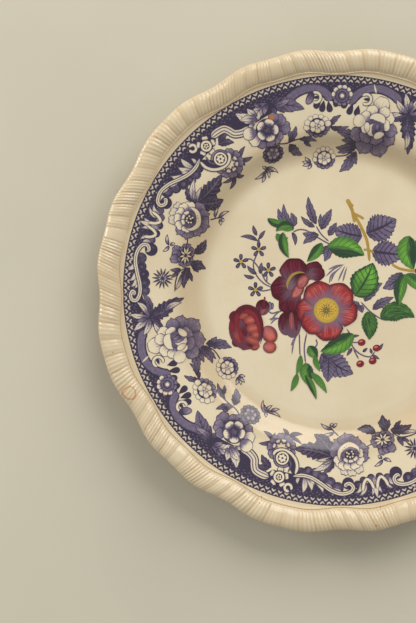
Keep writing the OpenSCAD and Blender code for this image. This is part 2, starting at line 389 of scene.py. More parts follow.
def transfer_print(name, inks, glaze_colours):
    """Engraved print under clear glaze: violet ink that thins out to cream."""
    def colour_of(tree, place):
        along, across, edge, tone, line, base, vein = stroke_parts(tree)
        lines = streaks(tree, place, along, across, 6.5)
        cover = mul_add(tree, fade(tree, edge, 0.65, 0.1), line, tone)
        reach = mul_add(tree, lines, 0.9, maths(tree, "SUBTRACT", along, 0.45))
        cover = mul_add(tree, fade(tree, reach, 0.72, 0.1), base, cover)
        cover = mul_add(tree, vein_mask(tree, along, across), vein, cover)
        grain = mul_add(tree, lines, 1.0, 0.1)
        grain = mul_add(tree, noise(tree, place, 520, 3, 0.75), 0.9, grain)
        cover = mul(tree, cover, grain)
        cream = opaque(glaze_colours.cream)
        pale = blend(tree, fade(tree, cover, 0.03, 0.5), cream, opaque(inks.half))
        full = blend(tree, fade(tree, cover, 0.4, 1.0), pale, opaque(inks.full))
        return stains_and_painted_shade(tree, place, full, glaze_colours)
    return glaze(name, colour_of)


def painted_enamel(name, light, body, deep, shadow, fringe=1.9):
    """Overglaze enamel laid by brush: streaky, deep at the edge, shadow at the root."""
    def colour_of(tree, place):
        along, across, edge, tone, line, base, vein = stroke_parts(tree)
        bristles = streaks(tree, place, along, across, 7.0)
        amount = mul_add(tree, bristles, 1.0, maths(tree, "SUBTRACT", tone, 0.7))
        amount = mul_add(tree, noise(tree, place, 180, 3, 0.6), 0.4, amount)
        paint = blend(tree, fade(tree, amount, 0.0, 0.5), opaque(light), opaque(body))
        paint = blend(tree, fade(tree, amount, 0.45, 0.95), paint, opaque(deep))
        inside = mul_add(tree, bristles, fringe * 1.4, maths(tree, "SUBTRACT", edge, fringe * 0.7))
        rim = mul(tree, fade(tree, inside, fringe, 0.1), line)
        paint = blend(tree, rim, paint, opaque(deep))
        ribs = mul(tree, vein_mask(tree, along, across), vein)
        paint = blend(tree, ribs, paint, opaque(shadow))
        reach = mul_add(tree, bristles, 0.6, maths(tree, "SUBTRACT", along, 0.3))
        root = mul(tree, fade(tree, reach, 0.72, 0.22), base)
        return blend(tree, root, paint, opaque(shadow))
    return glaze(name, colour_of, relief_mm=0.04, gloss=0.24)


# ---- pieces

def finish_piece(bm, name, material, node):
    """Turns a mesh into a smooth piece that stands for its CAD node."""
    mesh = bpy.data.meshes.new(name)
    bm.to_mesh(mesh)
    bm.free()
    mesh.shade_smooth()
    mesh.set_sharp_from_angle(angle=SHARP)
    mesh.materials.append(material)
    piece = bpy.data.objects.new(name, mesh)
    bpy.context.scene.collection.objects.link(piece)
    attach(piece, "root")
    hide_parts(node)


def spin_round(bm, corners, closed, steps):
    """Joins corners by edges and turns them round the axis."""
    ends = corners[1:] + (corners[:1] if closed else [])
    edges = [bm.edges.new(pair) for pair in zip(corners, ends)]
    bmesh.ops.spin(bm, geom=corners + edges, cent=(0, 0, 0), axis=(0, 0, 1), dvec=(0, 0, 0),
                   angle=TAU, steps=steps, use_merge=True)


def turned(section, closed=True):
    """A solid turned round the axis from (radius, height) points."""
    bm = bmesh.new()
    spin_round(bm, [bm.verts.new((r, 0, z)) for r, z in section], closed, SPIN_STEPS)
    bmesh.ops.remove_doubles(bm, verts=bm.verts, dist=0.001 * MM)
    bmesh.ops.recalc_face_normals(bm, faces=bm.faces)
    return bm


def at(angle, radius):
    """A point in plan, in millimetres, from an angle in degrees and a radius."""
    turn = math.radians(angle)
    return Vector((radius * math.cos(turn), radius * math.sin(turn)))


# ---- places on the plate

class Place:
    """A point in plan with its own right and up, in millimetres."""

    def __init__(self, centre, right, up):
        self.centre = Vector(centre)
        self.right = Vector(right)
        self.up = Vector(up)

    def to(self, across, out):
        """The point so far to the right and so far up."""
        return self.centre + self.right * across + self.up * out

    def way(self, degrees):
        """The direction at an angle that turns from right to up."""
        turn = math.radians(degrees)
        return self.right * math.cos(turn) + self.up * math.sin(turn)


def on_floor(x, y):
    """A place in the bouquet, upright."""
    return Place((x, y), (1, 0), (0, 1))


def on_border(angle, radius, wide=1.0, tall=1.0):
    """A place in the border whose up points outwards; it may be foreshortened."""
    up = at(angle, 1)
    return Place(at(angle, radius), up.orthogonal() * wide, up * tall)


# ---- brush strokes

# Amounts of ink: all over, along the edge, at the root and in the veins; 1 is full, below 0 wipes
Ink = namedtuple("Ink", "tone line base vein", defaults=(0.0,))


def leaf_form(s):
    return s, math.sin(math.pi * s ** 0.8) ** 0.85


def petal_form(s):
    t = (1 - math.cos(math.pi * s)) / 2
    return t, math.sin(math.pi * s) * (0.5 + 0.62 * t)


def round_form(s):
    return (1 - math.cos(math.pi * s)) / 2, math.sin(math.pi * s)


def drop_form(s):
    t = (1 - math.cos(math.pi * s)) / 2
    return t, math.sin(math.pi * s) * t ** 0.7 * 1.3


def band_form(s):
    return s, min(1, 12 * s, 12 * (1 - s)) ** 0.5


def taper_form(s):
    return s, min(1, 8 * s) ** 0.5 * (1 - s) ** 0.55


FORMS = {"leaf": leaf_form, "petal": petal_form, "round": round_form, "drop": drop_form,
         "band": band_form, "taper": taper_form}


def through(points):
    """A smooth route through a few points."""
    points = [Vector(p) for p in points]
    spans = len(points) - 1
    ends = [2 * points[0] - points[1], *points, 2 * points[-1] - points[-2]]

    def route(t):
        i = min(int(t * spans), spans - 1)
        u = t * spans - i
        a, b, c, d = ends[i:i + 4]
        return 0.5 * (2 * b + (c - a) * u + (2 * a - 5 * b + 4 * c - d) * u * u
                      + (3 * b - a - 3 * c + d) * u ** 3)
    return route


def bowed(start, end, bend):
    """A route that bows to its left by a share of its length."""
    across = (end - start).orthogonal()
    middle = (start + end) / 2 + across * bend * 2
    return lambda t: start * (1 - t) ** 2 + middle * 2 * t * (1 - t) + end * t * t


def mixed(first, second, share):
    """Ink between two inks."""
    return Ink(*(a + (b - a) * share for a, b in zip(first, second)))


class Film:
    """A layer of print or enamel: strokes, each a hair above the one before."""

    STEP = 0.010 * MM       # height of one stroke above the last
    SUNK = 0.02 * MM        # how far a film's underside lies in the clay

    def __init__(self, face, lift_mm, repeats=1):
        self.face = face
        self.lift = lift_mm * MM
        self.repeats = repeats
        self.level = 0
        self.bm = bmesh.new()
        self.where = self.bm.verts.layers.float_vector.new("stroke")
        self.ink = self.bm.verts.layers.float_color.new("ink")

    def sheet(self, rows, columns, shape, level=None):
        """Adds a grid that shape turns into points with their places and ink."""
        if level is None:
            level = self.level
            self.level += 1
        height = self.lift + self.STEP * level
        grid = bmesh.ops.create_grid(self.bm, x_segments=rows, y_segments=columns, size=0.5)
        for vert in grid["verts"]:
            point, places, ink = shape(vert.co.x + 0.5, vert.co.y * 2)
            vert.co = (point.x * MM, point.y * MM, height)
            vert[self.where] = places
            vert[self.ink] = ink

    def stroke(self, route, half_width, ink, form="band", rows=None, columns=None, teeth=0, bite=0.32,
               notch=0.0, lobes=2, other=None, level=None):
        """Adds a stroke along a route. Teeth cut its sides; other is the ink of its right side. The form
        "fan" is a broad petal that ends in an edge, which notches part into lobes."""
        outline = FORMS.get(form)
        reach = sum((route((i + 1) / 8) - route(i / 8)).length for i in range(8))
        rows = rows or max(5, min(24, int(reach / 0.9) + 3), 3 * teeth)
        columns = columns or 2 * max(1, min(5, round(half_width / 1.1)))

        def shape(s, side):
            if outline:
                t, width = outline(s)
                tip = 1
            else:
                lobe = 0.5 + 0.5 * math.cos(math.pi * lobes * (side + 1))
                tip = 1 - 0.42 * side ** 2 - notch * lobe * (1 - side ** 2)
                t = s * tip
                width = math.sin(math.pi / 2 * min(1, t / 0.75)) ** 0.8
            width *= half_width
            if teeth:
                width *= 1 - bite * abs(side) * (1 - s * teeth % 1)
            ahead = route(min(t + 0.01, 1)) - route(max(t - 0.01, 0))
            across = Vector((-ahead.y, ahead.x)).normalized()
            edge = min((1 - abs(side)) * width, (tip - t) * reach)
            mine = mixed(ink, other, min(max(0.5 - 2.2 * side, 0), 1)) if other else ink
            return route(t) + across * side * width, (t, side, edge), mine
        self.sheet(rows, columns, shape, level)

    def blade(self, start, end, half_width, ink, form="leaf", bend=0.0, **more):
        """Adds a leaf, petal or drop from its root to its tip."""
        self.stroke(bowed(Vector(start), Vector(end), bend), half_width, ink, form, **more)

    def line(self, points, half_width, ink, form="band", **more):
        """Adds a line through a few points."""
        more.setdefault("rows", 5 * (len(points) - 1))
        more.setdefault("columns", 2)
        self.stroke(through(points), half_width, ink, form, **more)

    def disc(self, centre, radius, ink, level=None):
        """Adds a round spot; its root is its middle."""
        centre = Vector(centre)
        around = 14 if radius < 3 else 28

        def shape(s, side):
            share = (side + 1) / 2
            turn = TAU * s
            point = centre + Vector((math.cos(turn), math.sin(turn))) * radius * share
            return point, (share, 0.5, (1 - share) * radius), ink
        self.sheet(around, 2 if radius < 3 else 4, shape, level)

    def eye(self, centre, *spots):
        """Adds discs one over the other: radius and ink of each."""
        for radius, ink in spots:
            self.disc(centre, radius, ink)

    def ring(self, centre, radius, half_width, ink, start=0, sweep=360):
        """Adds a ring or an arc."""
        centre = Vector(centre)

        def route(t):
            turn = math.radians(start + sweep * t)
            return centre + Vector((math.cos(turn), math.sin(turn))) * radius
        self.stroke(route, half_width, ink, rows=max(8, abs(sweep) // 15), columns=2)

    def petals(self, place, count, root, reach, half_width, ink, first=90, sweep=360, form="petal", **more):
        """Adds petals round a place, each clear in height of its neighbours."""
        for i in range(count):
            out = place.way(first + sweep * i / count)
            order = 2 if i % 2 == 0 and i == count - 1 else i % 2
            self.blade(place.centre + out * root, place.centre + out * reach, half_width, ink, form,
                       level=self.level + order, **more)
        self.level += 3

    def finish(self, name, node, slot, material):
        """Thickens, repeats and drapes the strokes, and makes the piece."""
        bm = self.bm
        bmesh.ops.remove_doubles(bm, verts=bm.verts, dist=0.004 * MM)
        made = bmesh.ops.extrude_face_region(bm, geom=bm.faces[:], use_keep_orig=True)
        for item in made["geom"]:
            if isinstance(item, bmesh.types.BMVert):
                item.co.z = -self.SUNK
        whole = bm.verts[:] + bm.edges[:] + bm.faces[:]
        for turn in range(1, self.repeats):
            copy = bmesh.ops.duplicate(bm, geom=whole)
            verts = [item for item in copy["geom"] if isinstance(item, bmesh.types.BMVert)]
            around = Matrix.Rotation(TAU * turn / self.repeats, 3, "Z")
            bmesh.ops.rotate(bm, verts=verts, cent=(0, 0, 0), matrix=around)
        for vert in bm.verts:
            vert.co.z += self.face.height(vert.co.xy.length)
        bmesh.ops.recalc_face_normals(bm, faces=bm.faces)
        finish_piece(bm, name, material, node)


# Inks of the print
DARK = Ink(1.0, 0.1, 0.1)
HOLLOW = Ink(0.85, 0.1, -0.15)
DEEP = Ink(0.85, 0.15, 0.2, -0.35)
SOFT = Ink(0.52, 0.3, 0.3, 0.35)
DIM = Ink(0.3, 0.5, 0.5, 0.4)
LIGHT = Ink(0.02, 0.6, 0.5, 0.4)
GREY = Ink(0.4, 0.6, 0.5, 0.1)
GREY_BAND = Ink(0.44, 0.3, 0.0)
PALE = Ink(0.12, 0.55, 0.6, 0.05)
CREAM = Ink(0.0, 0.65, 0.6)
FLORET = Ink(0.0, 0.42, 0.2)
TONGUE = Ink(0.0, 0.4, 0.3, 0.3)
BARE = Ink(0.0, 0.1, 0.0)
BARE_BAND = Ink(0.0, 0.25, 0.0)
FAINT = Ink(0.3, 0.3, 0.1)
WORN = Ink(0.12, 0.12, 0.0)
STEM = Ink(0.8, 0.1, 0.0)


# ---- the printed border

# The border is drawn once, over a third of the plate, at angles from UNIT_START on
UNIT_START = 72
UNIT = 360 / REPEATS
PRINT_R = 119.1             # outer line of the print
CRESCENTS = 66              # crescents in one row, over a third of the plate

# Inner edge of the dark ground, as angle and radius
GROUND_EDGE = (
    (72, 108.5), (74, 110.5), (78, 112.5), (82, 112.5), (84.5, 108), (86, 104.5), (91, 104.5), (93, 107),
    (96, 112), (100, 113), (104, 110), (107, 107), (111, 105), (116, 103.5), (119, 102.5), (122, 102.3),
    (123.8, 104.5), (125, 108), (128, 109), (130, 106), (133, 105), (138, 104.5), (142, 104.3),
    (145, 106.5), (149, 110.5), (152, 112), (155, 110.5), (157, 108.5), (161, 107.5), (165, 108.5),
    (167, 111), (170, 113), (173, 112.3), (177, 109.8), (181, 108.8), (185, 106), (188, 104.5),
    (192, 108.5))


def draw_ground(film):
    """The dark band, with two rows of bare crescents and a net of dots."""
    edge = through(GROUND_EDGE)

    def shape(s, side):
        angle, low = edge(s)
        share = (side + 1) / 2
        return at(angle, low + (PRINT_R - low) * share), (s, side, 2 - side), DARK
    film.sheet(6 * (len(GROUND_EDGE) - 1), 6, shape)
    pitch = UNIT / CRESCENTS
    for i in range(CRESCENTS):
        angle = UNIT_START + pitch * (i + 0.5)
        film.line([at(angle - 0.62, 118.7), at(angle + 0.05, 117.3), at(angle + 0.72, 118.6)], 0.5, WORN,
                  "leaf", rows=6, level=2)
        film.line([at(angle - 1.5, 115.2), at(angle - 0.88, 116.4), at(angle - 0.25, 115.3)], 0.5, WORN,
                  "leaf", rows=6, level=2)
        for aside, radius in ((0.2, 114.3), (0.9, 113.3), (0.2, 112.4)):
            film.blade(at(angle + aside - 0.3, radius), at(angle + aside + 0.3, radius), 0.3, FAINT,
                       "round", level=2, rows=4)


def stacked(film, points, *bands):
    """Lines along one route, one over the other: half width and ink of each."""
    for half_width, ink in bands:
        film.line(points, half_width, ink)


def border_line(*pairs):
    """Points from angles and radii."""
    return [at(angle, radius) for angle, radius in pairs]


def draw_arch(film, points, loop, drops):
    """A grey arch, a bare loop in its hollow and dark drops from its ends."""
    film.level = 3
    film.line(points, 2.8, DARK)
    film.line(points, 2.3, Ink(0.55, 0.3, 0.0), columns=4)
    for (angle, radius), (low_angle, low) in drops:
        film.blade(at(angle, radius), at(low_angle, low), 1.9, DARK, "drop", level=6)
    centre, turn = loop
    film.level = 7
    film.ring(at(*centre), 2.7, 1.1, DARK, start=centre[0] + turn, sweep=-280)
    film.ring(at(*centre), 2.7, 0.75, BARE_BAND, start=centre[0] + turn, sweep=-280)
    eye = on_border(*centre)
    film.blade(eye.to(1.7, 0), eye.to(-1.7, 0), 1.0, DARK, "drop")


def draw_arches(film):
    """The pair of arches on each side of a rosette."""
    left = border_line((71.5, 109), (73.5, 112), (77, 113.8), (80.5, 113.4), (83.4, 110.8), (85.4, 107),
                       (86.4, 103.4))
    draw_arch(film, left, ((81.6, 107.2), 60),
              (((83.6, 103.6), (84, 97.6)), ((85.4, 104.4), (86.6, 98)), ((86.6, 106), (88.8, 101.6))))
    right = border_line((92.4, 105), (93, 108.4), (95, 111.6), (98.2, 113.2), (101.5, 112.2),
                        (104.6, 109.4), (106.6, 107))
    draw_arch(film, right, ((96.6, 107.8), 60),
              (((91.6, 106), (90, 102.4)), ((93, 105.4), (92.4, 99.2)), ((94.2, 106), (95.2, 99.6)),
               ((95, 106), (97.4, 102.2))))
    film.blade(at(97.6, 111.4), at(99.6, 105), 2.2, GREY, "round", bend=0.1)
    film.blade(at(79, 111), at(80.2, 116), 0.6, BARE_BAND, "leaf")


def draw_bracket(film):
    """The stepped moulding between the leaves and the second rosette."""
    film.level = 3
    steps = border_line((118, 102.6), (121, 102.4), (123.4, 104.2), (124.3, 107.2), (125.3, 109.6),
                        (127.3, 110.3), (129.6, 110.2))
    stacked(film, steps, (2.6, DARK), (2.0, BARE_BAND), (1.2, GREY_BAND), (0.65, BARE_BAND))


def draw_tongues(film, tongues):
    """Adds pale tongues of leaf: root, tip, half width and bend."""
    for root, tip, half_width, bend in tongues:
        film.blade(at(*root), at(*tip), half_width, TONGUE, "leaf", bend)


def draw_acanthus(film, spine, tongues, scallops, curl):
    """An acanthus scroll: tongues above its spine, scallops below, a curl at its end."""
    film.level = 3
    for angle, radius, size in scallops:
        film.disc(at(angle, radius), size + 0.5, HOLLOW)
    film.level += 3
    (angle, radius), size = curl
    film.disc(at(angle, radius), size, DARK)
    draw_tongues(film, tongues)
    stacked(film, border_line(*spine), (1.45, DARK), (0.95, BARE_BAND), (0.19, GREY_BAND))


def draw_scrolls(film):
    """The two scrolls that meet at the palmette."""
    draw_acanthus(
        film,
        ((136.3, 106), (139, 104.4), (142, 104.9), (145, 107.4), (148, 110.8), (151, 112.6), (153.6, 111.6),
         (154.4, 109.2), (153.4, 107.2), (152.2, 107.9), (152.6, 109)),
        (((138.6, 105.2), (138.2, 109.6), 1.1, -0.2), ((139.6, 105), (140, 113.8), 1.7, 0.1),
         ((140.2, 105.2), (142.4, 112), 1.6, 0.15), ((141, 105.4), (143, 108.8), 1.2, 0.15),
         ((142.6, 106.4), (145.6, 112.4), 1.7, 0.2), ((144.6, 108), (148.6, 113.8), 1.8, 0.2),
         ((147.4, 110.4), (152, 115), 1.4, 0.15)),
        ((138.6, 103, 2.4), (140.6, 101.6, 2.2), (143, 102.4, 2.7), (145.4, 104.2, 2.6),
         (147.6, 106.6, 2.7), (149.9, 109.4, 2.8)),
        ((153, 107), 3.3))
    draw_acanthus(
        film,
        ((168.6, 108.4), (167.8, 107.2), (166.6, 108.6), (166.9, 111.4), (168.9, 113.3), (171.6, 113.5),
         (175, 111.7), (178, 110), (180.6, 109.8), (182.6, 111.6), (182.6, 114), (181.4, 115),
         (180.2, 114), (180.6, 112.8), (181.4, 113.2)),
        (((169.4, 112.5), (171.4, 117), 1.3, 0.15), ((171, 112.4), (174.4, 117.2), 1.6, 0.15),
         ((173, 111.9), (177.4, 115.9), 1.7, 0.18), ((175.2, 111), (179, 114.8), 1.6, 0.15),
         ((177, 110.4), (179.4, 112.8), 1.1, 0.1)),
        ((170.6, 110.6, 2.6), (173, 109.8, 2.4), (175.2, 108.2, 2.6), (177.6, 107.2, 2.5), (180, 107, 2.3)),
        ((167.6, 106), 3.5))


def draw_palmette(film):
    """The upright leaf between the scrolls."""
    film.level = 3
    for angle, radius in ((155.8, 108), (157.6, 106.2), (160, 105.4), (162.6, 105.6), (164.8, 107)):
        film.disc(at(angle, radius), 2.2, HOLLOW)
    film.level += 3
    draw_tongues(film, (
        ((156.4, 106.8), (154.8, 112.6), 1.2, 0.3), ((157.4, 106), (155.8, 114.4), 1.3, 0.25),
        ((165.6, 106.8), (167, 111.6), 1.2, -0.3), ((164.8, 106), (165.6, 113.4), 1.3, -0.25),
        ((160.2, 105.4), (159.4, 115), 1.5, 0.12), ((161.6, 105.4), (162.4, 114.4), 1.4, -0.12),
        ((160.9, 104.6), (160.7, 117), 1.7, 0)))
    for middle in (158.7, 162.9):
        loop = border_line((middle - 1.7, 112.2), (middle - 1.1, 108), (middle, 105.8), (middle + 1.1, 108),
                           (middle + 1.6, 112))
        stacked(film, loop, (1.2, DARK), (0.8, BARE_BAND))


def draw_ring_rosette(film):
    """The rosette in a spiral, in the crook of a moulded curve."""
    film.level = 4
    film.disc(at(131.8, 98), 5.4, GREY)
    film.blade(at(136.6, 105), at(131.4, 94.8), 2.6, DARK, "round", bend=-0.14)
    crook = border_line((136.9, 104.8), (137, 100.4), (135.8, 96.4), (133.4, 93.8), (130.8, 93.6),
                        (128.9, 95.6), (128.6, 98.2))
    stacked(film, crook, (1.25, DARK), (0.8, BARE_BAND))
    film.line(border_line((134.6, 104.6), (134.9, 100.4), (134, 97.6)), 0.45, GREY_BAND)
    film.eye(at(131.7, 98), (4.2, DARK), (3.6, BARE), (2.7, DARK))
    film.petals(on_border(131.7, 98), 6, 0.5, 2.3, 0.75, BARE, form="round")


# Leaves over the dark ground: root, tip, half width, bend and ink
BAND_LEAVES = (
    ((110.8, 110), (100.4, 102.4), 4.8, 0.06, SOFT), ((110.4, 109), (103.8, 110), 2.0, -0.1, DIM),
    ((110, 108), (109.6, 103.2), 1.8, 0.1, SOFT), ((111, 111), (108.6, 106), 1.1, 0.1, DARK),
    ((110.8, 111), (117.4, 102.4), 3.4, -0.12, LIGHT), ((110.6, 110.4), (112.8, 105.4), 1.8, -0.1, DIM),
    ((112.4, 110.8), (114.6, 113.4), 1.2, 0.1, DIM), ((115, 105), (120.2, 113.6), 3.3, 0.1, LIGHT),
    ((114.8, 106.4), (116.6, 112.8), 2.4, 0.1, LIGHT), ((115.4, 105), (120.2, 108.6), 2.3, -0.1, LIGHT),
    ((116.6, 103.6), (119, 103), 1.5, 0, LIGHT), ((188, 105.4), (186.4, 116.6), 2.0, 0.05, LIGHT),
    ((188, 105.6), (183.2, 112), 2.0, -0.1, LIGHT), ((188.2, 106), (191.2, 115.6), 2.2, 0, LIGHT),
    ((188.4, 105.6), (193, 111), 2.0, 0.1, LIGHT), ((188.2, 106), (188.8, 113.4), 1.4, 0, DIM),
    ((187.6, 105), (180.6, 108.6), 2.2, -0.12, SOFT))


def draw_band_leaves(film):
    """Pale and grey leaves that lie over the dark ground."""
    film.level = 4
    for root, tip, half_width, bend, ink in BAND_LEAVES:
        film.blade(at(*root), at(*tip), half_width, ink, bend=bend, teeth=4, bite=0.2)


def draw_band_rosettes(film):
    """The two rosettes in the dark ground, and a small spiral."""
    first = on_border(88.8, 108)
    film.level = 4
    film.petals(first, 11, 2.5, 5.8, 1.7, GREY, form="round")
    film.petals(first, 6, 2.8, 6.2, 1.7, CREAM, first=10, sweep=190, form="round")
    film.eye(first.centre, (3.9, GREY), (3.3, GREY_BAND), (2.6, DARK), (2.0, GREY_BAND), (1.0, BARE))
    second = on_border(132.4, 108.4)
    film.level = 4
    film.ring(at(135.7, 112.6), 1.9, 1.15, DARK, start=200, sweep=330)
    film.ring(at(135.7, 112.6), 1.9, 0.75, BARE_BAND, start=200, sweep=330)
    film.petals(second, 5, 1.8, 6.0, 2.3, CREAM, first=50, form="fan", notch=0.12)
    film.eye(second.centre, (3.6, DARK), (3.0, BARE), (1.9, DARK))
    film.petals(second, 5, 0.4, 1.5, 0.5, BARE, form="round")


def draw_daisy(film, place, size, skirt, crown, heart):
    """A round flower with a crown of paler petals and a dark eye full of florets."""
    film.level = 0
    film.petals(place, 13, size * 0.5, size, size * 0.26, skirt, form="fan", notch=0.1)
    if crown:
        film.petals(place, 7, size * 0.5, size * 1.04, size * 0.27, crown, first=0, sweep=200, form="round")
    film.disc(place.centre, size * 0.66, DARK)
    film.petals(place, 6, size * 0.12, size * 0.6, size * 0.26, heart, form="round")
    film.petals(place, 3, 0, size * 0.26, size * 0.14, heart, first=60, form="round")


def draw_ruffles(film, place, petals, notch=0.1, lobes=2):
    """Adds big petals: across and out of the tip, half width and ink."""
    for across, out, half_width, ink in petals:
        film.blade(place.to(across * 0.3, out * 0.3), place.to(across, out), half_width, ink, "fan",
                   notch=notch, lobes=lobes, columns=8)


def draw_pansy(film):
    """The open flower whose bare petals ring a dark heart."""
    place = on_border(113.7, 97.2)
    draw_ruffles(film, place, (
        (-13.4, -3, 4.6, GREY), (-12.4, 3.6, 4.2, GREY), (-8.4, 7.4, 3.4, GREY), (-5.4, -8.6, 4.6, GREY),
        (2.4, -9.4, 4.2, GREY), (8.4, -7.4, 3.8, GREY), (12.4, -3.4, 3.8, CREAM)))
    film.blade(place.to(6.2, 1.4), place.to(13.6, 3), 3.7, CREAM, "round")
    film.disc(place.centre, 6.6, HOLLOW)
    film.petals(place, 5, 1.6, 6.4, 2.9, Ink(0.0, 0.5, 0.9), first=54, form="round")
    film.disc(place.centre, 2.1, HOLLOW)
    film.petals(place, 5, 0.4, 3.6, 0.7, HOLLOW, first=90, form="leaf")


def draw_hanging_flower(film):
    """The flower behind the spiral rosette."""
    place = on_border(130.4, 93)
    film.level = 0
    film.petals(place, 9, 3, 8.8, 3.2, GREY, form="fan", notch=0.12)
    film.petals(place, 8, 2.2, 5.6, 1.7, CREAM, form="fan", notch=0.12)


def draw_small_peony(film):
    """The peony with a grey skirt, cupped by one broad bare petal."""
    place = on_border(154.3, 91.4)
    film.level = 0
    draw_ruffles(film, place, (
        (-12, -3.6, 4.2, GREY), (-8.2, -9, 4.2, GREY), (-1.6, -12, 5.6, GREY), (5.8, -9.4, 4.4, GREY),
        (11.2, -3, 4.4, GREY), (11, 2.8, 3.2, GREY)), notch=0.16, lobes=3)
    draw_ruffles(film, place, (
        (-4.8, 11.8, 3.0, PALE), (0.4, 12.8, 3.2, PALE), (5.8, 11.2, 3.0, PALE), (-9.6, 4.6, 3.8, CREAM),
        (-6.4, 8.4, 3.2, CREAM), (-1.8, 9.2, 3.4, CREAM), (3.4, 8.8, 3.4, CREAM), (7.8, 5.2, 3.2, CREAM),
        (8.2, -0.6, 3.0, CREAM)), notch=0.14)
    film.disc(place.centre, 5.0, Ink(0.7, 0.1, -0.3))
    film.line([place.to(-6.2, 3.4), place.to(-5.4, -2), place.to(0, -5.4), place.to(4.6, -3.2),
               place.to(5.6, 1)], 1.6, Ink(0.0, 0.6, 0.0), "leaf", columns=4)
    draw_ruffles(film, place, ((-3.4, 4.2, 2.1, CREAM), (0.6, 5, 2.2, CREAM), (4, 3.6, 2.0, CREAM)))
    film.disc(place.centre, 2.9, DARK)
    for across, out in ((-1.5, 0.9), (0, 1.5), (1.4, 1.2), (1.8, -0.2), (1.2, -1.5), (-0.6, -0.4),
                        (-1.6, -1.1)):
        film.disc(place.to(across, out), 0.5, BARE, level=film.level)


def draw_large_peony(film):
    """The peony under the arch: bare petals above, grey below, a dark cleft."""
    place = on_border(77.3, 93.6)
    film.level = 0
    draw_ruffles(film, place, (
        (-13, -7.4, 4.6, GREY), (-7.6, -15.4, 5.6, GREY), (4.4, -15.8, 5.8, GREY), (12.4, -9, 4.6, GREY),
        (-13.4, -0.6, 4.2, GREY), (-3.4, -10, 4.6, GREY), (5.4, -9.6, 4.4, GREY)), notch=0.1, lobes=3)
    draw_ruffles(film, place, (
        (-1.4, 17.4, 5.0, CREAM), (-9.4, 8.4, 4.0, CREAM), (-5, 12, 3.6, CREAM), (4.8, 11.4, 3.8, CREAM),
        (8.8, 6.4, 3.4, CREAM),
        (-8.6, 2.6, 3.8, CREAM), (7.4, -3.4, 3.0, CREAM)), notch=0.08)
    film.blade(place.to(5.6, 1.4), place.to(12.4, 1), 3.7, FLORET, "round")
    film.disc(place.to(-0.6, -0.2), 4.8, Ink(0.7, 0.1, -0.3))
    film.line([place.to(-5, 2.6), place.to(-2.4, 5), place.to(1.6, 5), place.to(4, 3.2)], 2.4,
              Ink(0.0, 0.6, 0.0), "leaf", columns=4)
    film.blade(place.to(-3.4, -3.6), place.to(-1.6, 2.6), 1.5, GREY, "leaf", bend=0.15)
    film.line([place.to(-0.6, -5.4), place.to(1.8, -4), place.to(2.4, -1), place.to(0.8, 1.6)], 1.5, FLORET,
              "leaf", columns=4)
    film.blade(place.to(3.2, -4.2), place.to(4.8, 1.4), 1.8, FLORET, "round")
    film.blade(place.to(-6.2, -3), place.to(-1.2, -6.4), 2.0, FLORET, "round", bend=-0.1)


def draw_bell_daisy(film):
    """The foreshortened daisy with a star at its heart."""
    place = on_border(166.9, 86.8, 1.18, 0.8)
    film.level = 0
    for angle in (164.8, 167.4, 170):
        film.blade(at(167.2, 88), at(angle, 95.2), 2.9, GREY, "fan", notch=0.1)
    film.petals(place, 11, 2.4, 6.2, 1.7, GREY, form="fan", notch=0.1)
    film.disc(place.centre, 2.9, DARK)
    film.petals(place, 9, 0.8, 4, 0.42, BARE, first=70, form="leaf")
    film.disc(place.centre, 0.6, DARK)


def draw_aster(film):
    """The thin-petalled aster above the bell daisy."""
    place = on_border(176, 97.6)
    film.level = 0
    film.petals(place, 14, 1.4, 5.9, 0.5, Ink(0.75, 0.1, 0.1), form="leaf")
    film.petals(place, 9, 0.2, 2.6, 0.7, CREAM, first=80, form="leaf")
    film.disc(place.centre, 0.7, GREY)


def draw_border_flowers(film):
    """Every flower that hangs from the border."""
    draw_large_peony(film)
    draw_daisy(film, on_border(97, 92.2, 1.1, 0.93), 6.9, GREY, FLORET, FLORET)
    draw_daisy(film, on_border(95.2, 74.8, 1.02, 1.0), 6.4, GREY, FLORET, FLORET)
    draw_daisy(film, on_border(115, 84.4, 1.12, 0.88), 6.0, GREY, None, Ink(0.25, 0.5, 0.2))
    draw_hanging_flower(film)
    film.level = 0
    draw_pansy(film)
    draw_small_peony(film)
    draw_bell_daisy(film)
    draw_aster(film)
    draw_band_rosettes(film)


